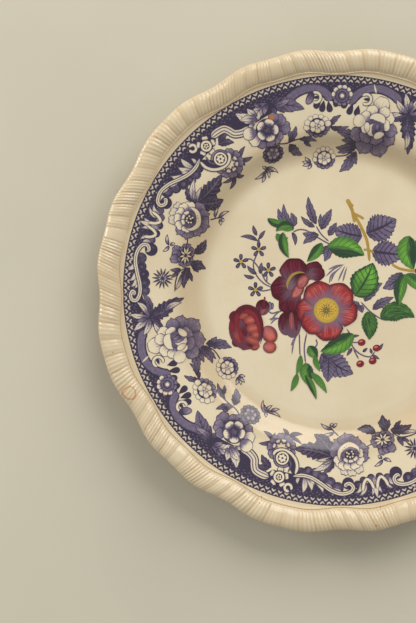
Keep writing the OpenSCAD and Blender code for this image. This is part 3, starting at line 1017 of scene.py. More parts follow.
# Leaves that hang from the border: root, tip, half width, teeth, bend and ink
BORDER_LEAVES = (
    ((188.2, 105.5), (182.2, 89), 5.0, 6, -0.06, DEEP), ((188.3, 105), (186.8, 94), 3.4, 4, 0.05, DEEP),
    ((184, 94), (182.6, 85.4), 2.0, 3, -0.05, DEEP), ((188.5, 105), (193.4, 100.6), 3.2, 4, 0.1, DEEP),
    ((147.5, 92.2), (134.8, 91.4), 5.6, 6, -0.06, DEEP), ((147.8, 91.6), (141, 81.4), 4.6, 5, -0.1, DEEP),
    ((148.4, 92.6), (145.4, 102), 2.7, 4, 0.1, DEEP), ((129.4, 104.8), (125, 100.2), 2.6, 4, 0.1, DEEP),
    ((129, 105.4), (124.4, 106.2), 1.9, 3, 0.1, DEEP), ((127, 91), (122.5, 95.4), 1.3, 0, 0.1, SOFT),
    ((127, 91), (122.2, 88.4), 1.3, 0, -0.1, SOFT), ((127.2, 91), (126.4, 86.4), 1.2, 0, 0.1, SOFT),
    ((131.5, 86), (128.6, 82.8), 1.2, 0, -0.1, SOFT), ((131.5, 86), (136.6, 82.6), 1.2, 0, 0.1, SOFT),
    ((131.5, 86), (137, 88), 1.0, 0, 0.1, SOFT), ((92.8, 91.4), (88.8, 97.6), 1.9, 3, 0.1, SOFT),
    ((92.6, 91), (86, 91.8), 1.8, 3, -0.1, SOFT), ((91, 91), (88, 88.2), 1.2, 0, 0.1, SOFT),
    ((108.2, 87.4), (104.2, 94.6), 2.3, 3, -0.1, SOFT), ((107, 88), (106.8, 93.4), 1.7, 3, 0, SOFT),
    ((104, 86.6), (97.6, 84.2), 1.7, 3, 0.1, SOFT), ((102.6, 85.6), (100, 82), 1.5, 3, 0, SOFT),
    ((108, 86.2), (104, 78.6), 3.0, 3, -0.1, SOFT), ((107.6, 85), (107, 79.8), 2.2, 3, 0.1, SOFT),
    ((82, 84.4), (90.2, 88.4), 3.2, 5, -0.1, SOFT), ((82.6, 83.6), (88.4, 84.4), 1.9, 3, 0, SOFT),
    ((82, 82.4), (90.4, 80.6), 3.0, 5, 0.1, SOFT), ((82.6, 80.6), (89.6, 77.6), 2.0, 4, 0, SOFT),
    ((82, 79.2), (88.6, 66.8), 3.4, 5, 0.06, SOFT), ((83, 76.6), (84.6, 67.6), 2.4, 3, 0, SOFT),
    ((83, 77.4), (81, 71.8), 2.0, 3, 0, SOFT), ((165.4, 82.8), (158.4, 78.6), 2.8, 4, -0.1, DEEP),
    ((165, 81), (161.6, 76.8), 2.0, 3, 0, DEEP), ((169.6, 83.6), (170.4, 74.2), 3.1, 4, 0.05, DEEP),
    ((169.4, 82), (167.6, 77), 1.9, 3, 0, DEEP), ((170, 82), (172.4, 78), 1.9, 3, 0, DEEP),
    ((171, 83.2), (179.2, 85.4), 3.0, 5, -0.12, DEEP), ((172.6, 83.4), (176.4, 81), 1.6, 3, 0, DEEP),
    ((174, 87.6), (180, 90.6), 1.2, 0, 0.1, LIGHT), ((172, 88), (172.8, 94), 1.3, 0, 0.1, SOFT),
    ((173.4, 89.4), (175.6, 93), 1.1, 0, 0, SOFT))
PALE_SLIVERS = (
    ((187, 97), (184.4, 86.8), 1.7, 0.12), ((148.6, 92.4), (141.8, 101), 1.9, 0.12),
    ((148.8, 91.8), (142.4, 95), 1.3, 0.1), ((194.5, 99.5), (189.6, 103.6), 1.6, 0.1),
    ((148.6, 93), (145, 97.4), 1.4, 0))
FAINT_SPRIGS = (
    ((116.5, 76), (119.8, 79.6)), ((119.8, 79.6), (116.2, 73.6)), ((119.8, 79), (121, 73.6)),
    ((119.8, 78.6), (126.4, 77.8)), ((121.4, 77.6), (124.6, 73.8)), ((119.4, 79), (120.8, 81.4)),
    ((149, 79.4), (144.6, 80.8)), ((148.6, 77.6), (143.2, 74.8)), ((148.6, 77.2), (150.6, 74.6)),
    ((147.8, 76.8), (148.6, 74.2)), ((165, 97), (161.6, 99.6)), ((165, 97), (167.4, 99.8)),
    ((165, 96.4), (163.8, 94)), ((101, 74), (105.2, 73)), ((101, 74), (103.2, 77.4)),
    ((101.2, 73.4), (103.4, 70.2)), ((101.4, 74), (104.8, 75.4)))
BORDER_STEMS = (
    ((113, 89), (109.5, 87), (105.5, 87.2), (100.5, 87.4)), ((104.5, 87), (101, 86.4), (98.6, 84.6)),
    ((171, 84), (173, 88.4), (176.5, 90.2), (180.6, 90.6)), ((158.6, 90), (161.5, 88), (164, 87.6)),
    ((82.6, 80), (86, 76.4), (91, 75.6)), ((90, 91.2), (92, 91.4), (94, 92)), ((127.6, 90.8), (126, 91.4)),
    ((150.8, 81.4), (149, 79), (147.4, 77)))


def draw_border_leaves(film):
    """Leaves, stems and faint sprigs between the border's flowers."""
    for points in BORDER_STEMS:
        film.level = 0
        film.line(border_line(*points), 0.35, STEM)
    for i, (root, tip, half_width, teeth, bend, ink) in enumerate(BORDER_LEAVES):
        film.level = 1 + i % 7
        film.blade(at(*root), at(*tip), half_width, ink, teeth=teeth, bend=bend)
    for root, tip, half_width, bend in PALE_SLIVERS:
        film.level = 8
        film.blade(at(*root), at(*tip), half_width, LIGHT, bend=bend)
    for i, (root, tip) in enumerate(FAINT_SPRIGS):
        film.level = i % 5
        film.blade(at(*root), at(*tip), 1.1, Ink(0.1, 0.8, 0.6), bend=0.12)


# ---- the bouquet

LIT = Ink(0.0, 0.55, 0.3, 0.7)
GLOSSY = Ink(0.0, 1.0, 0.6, 0.95)
SHADED = Ink(0.95, 0.3, 0.3, 0.45)
HALF_LIT = Ink(0.4, 0.5, 0.3, 0.6)
BOTTLE = Ink(0.8, 0.4, 0.2, 0.5)

# Green leaves: root, tip, half width, bend, left ink and right ink
GREEN_LEAVES = (
    ((-4.8, 24.4), (15.8, 20), 6.6, 0.10, LIT, SHADED),
    ((10.4, -2.8), (20.6, 15.8), 8.8, -0.05, GLOSSY, GLOSSY),
    ((9.5, -24), (-9, -34), 5.6, 0.08, LIT, SHADED), ((-8, 27), (-16.5, 16.5), 3.0, 0.05, HALF_LIT, SHADED),
    ((17.5, -11.5), (18.5, -27.5), 5.0, 0.05, BOTTLE, BOTTLE),
    ((25, -16), (44, -15), 6.0, 0.22, BOTTLE, BOTTLE), ((41, 31), (43.5, 12), 6.8, -0.1, SHADED, HALF_LIT),
    ((38.5, 9.5), (35.2, -8.5), 3.6, -0.06, LIT, SHADED),
    ((38.5, 9), (49, -1.5), 3.6, 0.1, BOTTLE, HALF_LIT), ((44, 28), (54, 17), 4.8, 0.1, HALF_LIT, BOTTLE))
CURLED_LEAF = (
    ((-38.6, 40.8), (-26.6, 38), 2.2, -0.14, LIT, SHADED),
    ((-30, 40.6), (-24.4, 34.4), 2.8, -0.2, HALF_LIT, LIT),
    ((-24.6, 36), (-33.8, 33.4), 2.6, -0.2, LIT, SHADED),
    ((-33.4, 32.4), (-27, 30), 2.2, -0.3, HALF_LIT, LIT),
    ((-29.8, 33), (-26.6, 18.6), 2.7, -0.1, LIT, SHADED))
# Green buds: stalk end, tip, half width
GREEN_BUDS = (
    ((-20, -36), (-22.6, -47.4), 1.7, 0.05, LIT, HALF_LIT),
    ((-22, -46.4), (-25.6, -56.4), 1.8, 0.05, HALF_LIT, LIT),
    ((-17.2, -40.4), (-16, -53), 4.2, 0.0, SHADED, LIT),
    ((-17.6, -47), (-11.2, -61), 1.9, 0.05, LIT, SHADED),
    ((-14.4, -46), (-5.4, -57.4), 2.0, 0.06, LIT, HALF_LIT), ((-17, -40.6), (-17, -44.4), 1.3, 0, LIT, LIT),
    ((-15.6, -31), (-10.6, -38), 3.0, 0.0, SHADED, LIT),
    ((-12.2, -36), (-9, -45.2), 1.6, -0.06, LIT, HALF_LIT))
# Print leaves of the bouquet: root, tip, half width, teeth, bend
PRINT_LEAVES = (
    ((14.6, 30.6), (-1.6, 35), 7.4, 9, 0.04), ((16.8, 32.6), (33.8, 40.4), 9.3, 10, -0.04),
    ((20, 22.4), (38.4, 20.4), 8.3, 10, -0.02), ((-8.6, -35.4), (9.6, -46.6), 8.2, 9, -0.05),
    ((-4, -37), (-4.8, -51.4), 4.6, 5, 0.0), ((-11.2, 37.4), (-15.8, 53), 2.7, 4, 0.06),
    ((-12, 36), (-19.8, 42), 1.8, 3, 0.08), ((-8.6, 34.4), (-2.6, 46.2), 2.8, 5, 0.0),
    ((-8, 35), (-8.8, 43.4), 1.7, 3, 0.05), ((-4.4, 31), (0.2, 38.4), 2.4, 3, 0),
    ((-9.8, 31.6), (-19, 32.6), 2.5, 3, 0.1), ((-10, 31), (-18.6, 26.4), 2.4, 3, -0.1),
    ((-4.6, 26), (-6.8, 16.6), 2.8, 4, 0.1), ((-5, 25.6), (-10, 20.6), 2.0, 3, 0.1),
    ((-23.6, 35), (-32.8, 46.4), 3.0, 4, 0.12), ((-24, 36), (-25.6, 44), 2.4, 3, -0.1),
    ((-24, 34), (-29.6, 49), 2.4, 3, 0.1), ((-25, 33), (-23.2, 25.4), 1.3, 0, 0.12),
    ((-44.6, 31), (-46.8, 37), 1.2, 0, 0.05), ((-44.2, 28), (-54, 30.4), 1.3, 0, -0.12),
    ((-43.2, 29), (-39.8, 34), 1.1, 0, 0.05), ((-43.8, 24), (-43.6, 30), 0.8, 0, 0),
    ((-44.6, 9.6), (-50, 14.4), 1.3, 0, 0.1), ((-46, 7.6), (-52, 9.2), 1.1, 0, 0.1),
    ((-42.8, 9.6), (-42, 16), 1.3, 0, 0), ((16, -6), (26, 4.4), 3.4, 4, 0.1),
    ((13.4, -9), (9, -5.2), 2.6, 4, 0.12), ((13, -8), (14.6, -12.4), 2.2, 3, 0.05),
    ((20.4, -10.6), (32.4, -3.6), 2.8, 5, 0.06), ((37, 10.4), (26, 1.4), 4.4, 5, 0.1),
    ((37.4, 9), (32.6, -2.4), 2.8, 4, 0.1), ((14.8, -34.4), (17.6, -32), 0.9, 0, 0),
    ((9, -32), (5.8, -36.6), 1.0, 0, 0), ((20, -36), (24.4, -38.4), 0.9, 0, 0),
    ((20, -35.4), (19, -32), 0.8, 0, 0), ((23.6, -33.6), (26.4, -29.4), 0.9, 0, 0),
    ((8.6, -25.6), (13, -25), 0.8, 0, 0), ((46, 40), (54, 30), 4.4, 7, 0.1),
    ((44, 12), (53, 5), 3.6, 6, 0.1))
FRONDS = (
    ((-3, 5), (-1, 10), (4, 14.4)), ((-4, 4), (-2.6, 9), (2.6, 13)), ((-6, 8), (-1, 12.6), (4, 14.6)),
    ((-4.6, 12), (0, 14), (4.6, 14.8)), ((1, 5.4), (3, 10), (5, 14.2)), ((3.6, 5), (4.8, 9.6), (6, 13.6)),
    ((-25, -36), (-24, -29), (-21.6, -24)), ((-25.6, -31), (-23.6, -27), (-21, -23.6)),
    ((-38, -16), (-34, -15.4), (-30.6, -15.8)), ((-37, -18.8), (-34.6, -16.2), (-31, -15.2)))
# Thin printed stems through a few points, with their half width
PRINT_STEMS = (
    ((-36.6, 2), (-41, 4.4), (-45, 9), (-46.6, 15), (-44, 22)), ((-36.6, 0.8), (-41, 0), (-44, 0.6)),
    ((-36.4, 3), (-40, 6), (-43, 12), (-47.6, 17.6), (-51, 17.4)), ((-44, 24), (-44, 29)),
    ((-39, 5), (-39, 9)), ((-24.4, 33), (-21, 34.4), (-17, 34), (-12, 31)),
    ((-12, 31), (-7, 28), (-2, 25.4)), ((-11.4, 36.6), (-8.6, 32), (-4, 27.6)),
    ((-20.8, -23.6), (-20.6, -31), (-20.4, -36.4)), ((-16.6, -23.6), (-18, -32), (-17.2, -41)),
    ((-11.4, -27), (-10.8, -30), (-12.4, -32)),
    ((5.6, -21), (8.6, -26), (9, -31), (13.6, -35.6), (19, -37), (21.8, -34)), ((19, -37), (20, -39)),
    ((9.6, -32.6), (12.6, -38.4)), ((9.2, -29), (12.4, -29)), ((13.6, -6), (19, -11.6), (25.2, -16)),
    ((-37, -17), (-33, -12.4), (-28, -10)), ((-38.6, -11), (-36, -12.6), (-32, -11.4)))
FORGET_ME_NOTS = ((-43.6, 23.2), (-53.6, 16.4), (-38.2, 11.6), (-45.4, 0.6))


def draw_flower_petals(film, centre, petals, ink, **more):
    """Adds large petals: angle, length and half width of each."""
    place = on_floor(*centre)
    for angle, reach, half_width in petals:
        out = place.way(angle)
        film.blade(place.centre + out * 1.5, place.centre + out * reach, half_width, ink, "fan",
                   rows=18, columns=10, **more)


def draw_wild_rose(film):
    """The open rose in the middle, with six broad petals."""
    petal = Ink(0.4, 1.0, 1.0)
    draw_flower_petals(film, (-5.6, -11), (
        (180, 17.4, 8.8), (-5, 18.4, 8.6), (118, 18.2, 9.2), (-84, 17.8, 9.0), (46, 19, 9.2),
        (-138, 17.2, 8.0)), petal, notch=0.05)


def draw_dark_rose(film):
    """The maroon rose, with two pink petals folded over its heart."""
    deep = Ink(0.72, 0.9, 0.5)
    for root, tip, half_width in (
            ((-19, 6), (-8.6, 15.8), 5.2), ((-17, 8.6), (-6, 10.4), 4.6),
            ((-23.6, 1), (-23.6, 19.2), 9.0), ((-21, 3), (-37.4, -0.6), 8.0),
            ((-22.6, 1), (-30.8, -12.2), 5.6), ((-21.4, 2), (-25.8, -12.6), 4.6)):
        film.blade(root, tip, half_width, deep, "fan", rows=16, columns=12, notch=0.05)
    film.blade((-26.6, 0.6), (-18, 9.6), 3.2, Ink(1.1, 0.2, 0.8), "round", bend=0.12, columns=8)
    for root, tip, bend in (((-24.8, -3.6), (-20, 4.8), -0.1), ((-20.8, 1.2), (-15.6, 8.2), 0.1)):
        film.blade(root, tip, 3.1, Ink(0.2, 0.8, 0.0), "round", bend=bend, columns=8)


def draw_peony(film):
    """The full peony: a dark ball, a ruffle of coral lobes and two side lobes."""
    lobe = Ink(0.14, 0.7, 0.0)
    warm = Ink(0.55, 0.6, 0.0)
    dusk = Ink(0.85, 0.9, 0.2)
    for root, tip, half_width, ink in (
            ((-54.4, -27), (-57.8, -30.8), 2.6, dusk), ((-51, -28), (-52.4, -33.2), 2.6, dusk),
            ((-45.4, -28), (-46.6, -33.4), 2.8, warm), ((-55, -16), (-59.6, -12.6), 3.2, dusk),
            ((-40.2, -20), (-34.8, -28.8), 4.3, Ink(0.15, 0.9, 0.3)),
            ((-41.2, -31.2), (-33.6, -32), 3.5, Ink(0.1, 0.8, 0.2)),
            ((-50.4, -33), (-51, -8.6), 9.7, dusk),
            ((-57.8, -23), (-53.8, -29.4), 1.4, Ink(0.3, 0.6, 0.0)),
            ((-59, -17), (-58.4, -23.4), 1.1, warm),
            ((-55.6, -12.6), (-56.6, -20.4), 1.3, warm), ((-55, -18.4), (-52.6, -29), 1.2, warm),
            ((-51.4, -26.4), (-47.4, -31.6), 1.6, Ink(1.3, 0.0, 0.3)),
            ((-54, -16.4), (-50.8, -25.4), 1.7, Ink(1.3, 0.0, 0.3)),
            ((-49.4, -12.2), (-54.4, -15.6), 1.7, lobe), ((-45.4, -16), (-52, -17), 2.6, lobe),
            ((-43.6, -20.6), (-50.6, -21.4), 2.7, lobe), ((-43, -24.4), (-47.8, -24.8), 2.3, lobe),
            ((-43.4, -29.4), (-50.8, -26.4), 2.2, lobe), ((-43, -30.6), (-47.4, -32.4), 1.3, lobe)):
        film.blade(root, tip, half_width, ink, "round", rows=14, columns=8)
    film.line([(-52.6, -12.6), (-49.4, -11.6), (-45.6, -14), (-43.6, -19.6), (-43.2, -27.4)], 1.7,
              warm, "leaf", columns=4)
    film.line([(-58, -13.4), (-54.4, -10), (-50, -8.9), (-45.4, -11), (-42.4, -16.4), (-41.5, -23),
               (-42.6, -30)], 1.3, Ink(1.3, 0.2, 0.0), "leaf", columns=4)


def draw_buds(film):
    """The single bud and the pair of half-open ones."""
    lobe = Ink(0.2, 0.5, 0.0)
    warm = Ink(0.5, 0.5, 0.0)
    dusk = Ink(0.85, 0.8, 0.5)
    for root, tip, half_width, ink in (
            ((-41.4, -13.8), (-41.4, -4.8), 4.0, dusk), ((-40.4, -6.4), (-40.2, -3.2), 0.6, lobe),
            ((-40.6, -12.8), (-40.6, -5.2), 1.1, warm), ((-42.2, -12.8), (-39.8, -10.2), 0.9, lobe),
            ((-43.2, -12.4), (-43.6, -6.6), 0.6, warm),
            ((-28, -25), (-28.8, -12), 4.4, dusk), ((-24.4, -26.4), (-25, -10), 5.0, dusk),
            ((-22.4, -25), (-23.4, -11), 3.0, dusk), ((-25.2, -22), (-25.2, -12), 1.5, lobe),
            ((-30.2, -22), (-29.8, -14), 1.0, warm), ((-22.4, -22.6), (-22.6, -14), 0.8, warm)):
        film.blade(root, tip, half_width, ink, "round", rows=12, columns=6)


def draw_berries(film):
    """Four berries, each with a lit side."""
    for x, y in ((14.2, -29), (22.6, -32.2), (13.4, -41), (20.4, -39.4)):
        film.level = 0
        film.blade((x - 2.1, y - 0.4), (x + 2.2, y + 0.5), 1.9, Ink(0.7, 0.4, 0), "round",
                   rows=10, columns=4)
        film.blade((x - 1.4, y + 0.3), (x + 0.6, y + 0.9), 0.5, Ink(-0.2, 0, 0), "round")


def draw_stamens(film):
    """The wild rose's heart with its dots, and the small flowers' eyes."""
    heart = on_floor(-5.6, -11)
    film.disc(heart.centre, 7.1, Ink(0.15, 0.35, 0.0))
    film.petals(heart, 14, 1.6, 4.4, 0.24, Ink(0.85, 0, 0), form="leaf")
    for ring, count in ((3.6, 11), (5.2, 17)):
        for i in range(count):
            reach = ring + 0.5 * math.sin(5 * i)
            spot = heart.centre + heart.way(360 * i / count + 20 * ring) * reach
            film.disc(spot, 0.36, Ink(0.7, 0, 0), level=6)
    film.petals(heart, 7, 0.2, 2.6, 0.6, Ink(0.85, 0.2, 0), form="leaf")
    film.line([(-27.4, 0.8), (-27.4, 4.6), (-24.8, 8.8), (-20.8, 10.4), (-17.2, 9.8)], 0.8,
              Ink(0.5, 0.6, 0), "leaf", columns=4)
    for x, y in FORGET_ME_NOTS:
        film.disc((x, y), 1.0, Ink(0.2, 0.3, 0), level=0)


def draw_woody_stem(film):
    """The cut twig at the top and its branches."""
    bark = Ink(0.3, 0.35, 0.0)
    for points, half_width in (
            (((6.2, 51), (7.8, 47.6), (10, 43), (13.4, 37), (17, 29), (18.2, 22), (18.6, 16.4)), 0.8),
            (((10, 43.4), (13, 42), (15.6, 40.4)), 0.7), (((8.6, 47.4), (9.6, 42), (10.4, 38.4)), 0.8),
            (((15.2, 23.2), (18.2, 23), (21.4, 21.4)), 0.6),
            (((31, 15.2), (35, 12.8), (40, 11.6), (48, 10.6)), 0.7),
            (((6, 51.6), (7.6, 48.8), (9.4, 47.2)), 1.1)):
        film.line(points, half_width, bark)


def draw_greens(film):
    """Painted leaves and buds, each with a lit and a shaded side."""
    for root, tip, half_width, bend, left, right in GREEN_LEAVES + CURLED_LEAF + GREEN_BUDS:
        film.blade(root, tip, half_width, left, bend=bend, other=right, columns=12, rows=24,
                   teeth=8 if half_width > 4 else 0, bite=0.14)


def draw_print_leaves(film):
    """The violet leaves of the bouquet."""
    ink = Ink(0.5, 0.35, 0.2, 0.5)
    for i, (root, tip, half_width, teeth, bend) in enumerate(PRINT_LEAVES):
        film.level = i % 13
        film.blade(root, tip, half_width, ink, teeth=teeth, bend=bend, bite=0.24)


def draw_print_stems(film):
    """The printed stems, fronds and small flowers, and the bud's calyx."""
    for i, points in enumerate(PRINT_STEMS):
        film.level = i % 7
        film.line(points, 0.4, Ink(0.55, 0.1, 0))
    for i, points in enumerate(FRONDS):
        film.level = i % 4
        film.line(points, 0.5, Ink(0.3, 0.3, 0), "leaf")
    for x, y in FORGET_ME_NOTS:
        film.level = 4
        film.petals(on_floor(x, y), 5, 0.4, 4.4, 1.25, Ink(0.6, 0.5, 0.2), form="petal")
    film.level = 4
    film.blade((-37.4, -11), (-37.4, -6), 1.3, Ink(0.4, 0.5, 0), "round")
    film.blade((-36, -10.4), (-35.8, -6.6), 0.8, Ink(0.4, 0.5, 0), "round")


# ---- the clay

# Section of the moulding: share of the way out, height in millimetres above the rim's slope,
# share of the flutes' depth and share of the reeds'
MOULDING_ROWS = (
    (-0.085, 0, 0, 0), (-0.075, 0.06, 0, 0), (-0.055, 0.38, 0, 0), (-0.03, 0.6, 0, 0), (-0.005, 0.45, 0, 0),
    (0.015, 0.2, 0.1, 0.1), (0.035, 0.3, 0.4, 0.6), (0.06, 0.6, 0.7, 1), (0.1, 1.0, 0.9, 1),
    (0.18, 1.5, 1, 1), (0.3, 1.9, 1, 1), (0.43, 2.1, 1, 1), (0.57, 2.1, 1, 1), (0.7, 1.75, 1, 1),
    (0.81, 1.15, 1, 1), (0.9, 0.45, 0.9, 1), (0.96, -0.25, 0.7, 0.8), (0.99, -0.8, 0.5, 0.5),
    (1, -1.3, 0.3, 0.2), (0.985, -1.9, 0.1, 0), (0.95, -2.4, 0, 0), (0.85, -3.0, 0, 0), (0.55, -3.8, 0, 0))
REEDS = 4                   # reeds on one flute
COLUMNS = 16                # columns of the mesh on one flute
LOBES = 6


def swell(turn):
    """How far the edge swells, in millimetres, at an angle from a swirl."""
    return (-0.4 * math.cos(6 * turn) + math.cos(12 * turn) - 0.3 * math.cos(18 * turn)
            - 0.55 * math.cos(24 * turn))


def moulding_place(turn, row, edge, face):
    """Radius, turn and height of a point of the moulding, and how hollow it lies."""
    share, height, fluted, reeded = row
    leaned = turn - edge.lean * math.sin(LOBES * turn) * max(share, 0)
    inner = edge.moulding_r + 0.9 * swell(leaned) * MM
    radius = inner + (edge.edge_r + swell(leaned) * MM - inner) * share
    bare = math.degrees(math.acos(math.cos(LOBES * turn)) / LOBES)
    kept = min(max((bare - 0.7) / 1.6, 0), 1)
    phase = edge.flutes * turn
    flute = 2 * ((1 + math.cos(phase)) / 2 + 0.02) ** 0.35 - 1
    stray = math.sin(7 * turn) + 0.6 * math.sin(31 * turn + 1)
    reed = 1 - 2 * abs(math.sin((REEDS * phase + 0.9 * stray) / 2)) ** 1.4
    reed *= 0.75 + 0.35 * math.sin(23 * turn + 2)
    flute *= 0.8 + 0.25 * math.sin(13 * turn)
    relief = (edge.flute_depth * fluted * flute - edge.reed_depth * reeded * reed) * kept
    relief += edge.flute_depth * (1 - kept) * fluted * 0.8
    # how deep the point lies: the glaze is darkened there, for pooled glaze and for painted shade in the
    # valleys
    depth = max(0, min(1, 0.4 - 0.4 * flute * fluted + 0.4 * reed * reeded)) * kept
    return radius, leaned, face.rim_height(radius, height * MM) + relief, depth


def build_gadroon(edge, face):
    """The moulded edge: a bead, a groove, then flutes with fine reeds."""
    bm = bmesh.new()
    row_of = bm.verts.layers.int.new("row")
    hollow = bm.verts.layers.float.new("hollow")
    corners = [bm.verts.new((RIM_R, 0, 0))]
    corners += [bm.verts.new((edge.moulding_r + 0.01 * share, 0, 0)) for share, *_ in MOULDING_ROWS]
    corners.append(bm.verts.new((RIM_R, 0, -WALL_T)))
    for i, corner in enumerate(corners):
        corner[row_of] = i
    spin_round(bm, corners, True, edge.flutes * COLUMNS)
    last = len(MOULDING_ROWS) + 1
    for vert in bm.verts:
        turn = math.atan2(vert.co.y, vert.co.x)
        row = vert[row_of]
        if row in (0, last):
            radius, z = RIM_R, face.rim_height(RIM_R, -WALL_T if row else 0)
        else:
            radius, turn, z, vert[hollow] = moulding_place(turn, MOULDING_ROWS[row - 1], edge, face)
        turn += edge.swirl
        vert.co = (radius * math.cos(turn), radius * math.sin(turn), z)
    bmesh.ops.recalc_face_normals(bm, faces=bm.faces)
    return bm


def build_cavetto(face):
    """The curved wall between the floor and the rim."""
    edge = SHOULDER_EDGE
    back = face.wall_curve(-WALL_T)
    section = [*face.wall_curve(0), Vector((edge - THIN, face.rim_height(edge - THIN))),
               Vector((edge, face.rim_height(edge))), Vector((edge, face.rim_height(edge, -WALL_T))),
               *reversed(back)]
    return turned(section)


def build_rim(face):
    """The sloping rim under the printed border."""
    stations = (SHOULDER_EDGE, SHOULDER_EDGE + THIN, (SHOULDER_EDGE + RIM_R) / 2, RIM_R - THIN, RIM_R)
    section = [Vector((r, face.rim_height(r))) for r in stations]
    section += [Vector((r, face.rim_height(r, -WALL_T))) for r in reversed(stations)]
    return turned(section)


def build_well():
    """The flat floor, turned as a disc that closes on the axis."""
    stations = (0, FLOOR_R / 3, FLOOR_R * 2 / 3, FLOOR_R - THIN, FLOOR_R)
    section = [Vector((r, FLOOR_Z)) for r in stations]
    section += [Vector((r, FOOT_H)) for r in reversed(stations)]
    return turned(section, closed=False)


def build_foot_ring(profile):
    """The foot ring, with its corners worn round."""
    inner = FLOOR_R - profile.foot_w
    worn = 0.35 * MM
    low_in, low_out = inner + 1.0 * MM, FLOOR_R - 1.2 * MM
    section = [Vector(p) for p in (
        (inner, FOOT_H), (low_in - worn * 0.5, worn), (low_in, worn * 0.3), (low_in + worn, 0),
        (low_out - worn, 0), (low_out, worn * 0.3), (low_out + worn * 0.5, worn), (FLOOR_R, FOOT_H))]
    return turned(section)


def lamp(name, power, size, place, tint):
    """A soft rectangular light that faces the plate."""
    light = bpy.data.lights.new(name, "AREA")
    light.shape = "RECTANGLE"
    light.size, light.size_y = size
    light.energy = power
    light.color = tint
    made = bpy.data.objects.new(name, light)
    made.location = place
    made.rotation_euler = Vector(place).to_track_quat("Z", "Y").to_euler()
    bpy.context.scene.collection.objects.link(made)


# ---- operators

def lay(film, draws, name, node, slot, material):
    """Draws on a film and makes its piece; no two films that overlap may share a height."""
    for draw in draws:
        draw(film)
    film.finish(name, node, slot, material)


class MakeClay(bpy.types.Operator):
    """Turns the well, the wall, the rim and the foot ring of glazed clay"""
    bl_idname = "dinner_plate.make_clay"
    bl_label = "Turn the clay body"

    def execute(self, context):
        scene = context.scene
        profile = scene.plate_profile
        face = Face(profile)
        clay = glazed_clay("Glazed earthenware, thrown", scene.plate_glaze)
        for name, bm in (("well", build_well()), ("cavetto", build_cavetto(face)),
                         ("rim", build_rim(face)), ("foot_ring", build_foot_ring(profile))):
            finish_piece(bm, "turned_" + name, clay, name)
        return {"FINISHED"}


class MakeGadroon(bpy.types.Operator):
    """Presses the gadroon edge, whose glaze lies thick in its hollows, with shade painted into its valleys
    """
    bl_idname = "dinner_plate.make_gadroon"
    bl_label = "Press the gadroon edge"

    def execute(self, context):
        scene = context.scene
        # painted shade: the flutes' valleys are darkened, for pooled glaze and for the shade that falls
        # into them
        clay = glazed_clay("Glazed earthenware, moulded", scene.plate_glaze, pooling_and_shade=0.62)
        bm = build_gadroon(scene.plate_edge, Face(scene.plate_profile))
        finish_piece(bm, "moulded_gadroon", clay, "gadroon_edge")
        return {"FINISHED"}


class PrintBorder(bpy.types.Operator):
    """Prints the border: ground, leaves, flowers and scrolls, three times round the rim"""
    bl_idname = "dinner_plate.print_border"
    bl_label = "Print the border"

    def execute(self, context):
        scene = context.scene
        face = Face(scene.plate_profile)
        ink = transfer_print("Transfer print, rim", scene.plate_print, scene.plate_glaze)
        for lift, draws, name, node, slot in (
                (0.03, (draw_ground,), "printed_ground", "border_ground_print", "dark_violet_print"),
                (0.07, (draw_border_leaves, draw_band_leaves), "printed_leaves", "border_leaf_print",
                 "dark_violet_print"),
                (0.05, (draw_arches, draw_bracket, draw_scrolls, draw_palmette), "printed_scrolls",
                 "border_scroll_print", "violet_print"),
                (0.18, (draw_border_flowers, draw_ring_rosette), "printed_flowers", "border_flower_print",
                 "violet_print")):
            lay(Film(face, lift, REPEATS), draws, name, node, slot, ink)
        return {"FINISHED"}


class PrintBouquet(bpy.types.Operator):
    """Prints the violet leaves, stems and small flowers of the bouquet"""
    bl_idname = "dinner_plate.print_bouquet"
    bl_label = "Print the bouquet"

    def execute(self, context):
        scene = context.scene
        face = Face(scene.plate_profile)
        ink = transfer_print("Transfer print, well", scene.plate_print, scene.plate_glaze)
        lay(Film(face, 0.03), (draw_print_leaves,), "printed_bouquet_leaves", "centre_leaf_print",
            "dark_violet_print", ink)
        lay(Film(face, 0.04), (draw_print_stems,), "printed_bouquet_stems", "centre_stem_print",
            "violet_print", ink)
        return {"FINISHED"}


class PaintFlowers(bpy.types.Operator):
    """Paints the roses, the peony, the buds and the berries in red enamels"""
    bl_idname = "dinner_plate.paint_flowers"
    bl_label = "Paint the flowers"

    def execute(self, context):
        scene = context.scene
        face = Face(scene.plate_profile)
        paint = scene.plate_enamel
        red = painted_enamel("Red enamel", paint.coral, paint.crimson, paint.maroon, paint.heather,
                             fringe=3.2)
        wine = painted_enamel("Maroon enamel", paint.rose, paint.wine, paint.plum, paint.heather)
        for lift, draw, name, node, slot, enamel in (
                (0.22, draw_dark_rose, "painted_dark_rose", "dark_rose_enamel", "maroon_enamel", wine),
                (0.1, draw_buds, "painted_buds", "bud_enamel", "maroon_enamel", wine),
                (0.32, draw_wild_rose, "painted_wild_rose", "wild_rose_enamel", "red_enamel", red),
                (0.22, draw_peony, "painted_peony", "peony_enamel", "red_enamel", red),
                (0.22, draw_berries, "painted_berries", "berry_enamel", "red_enamel", red)):
            lay(Film(face, lift), (draw,), name, node, slot, enamel)
        return {"FINISHED"}


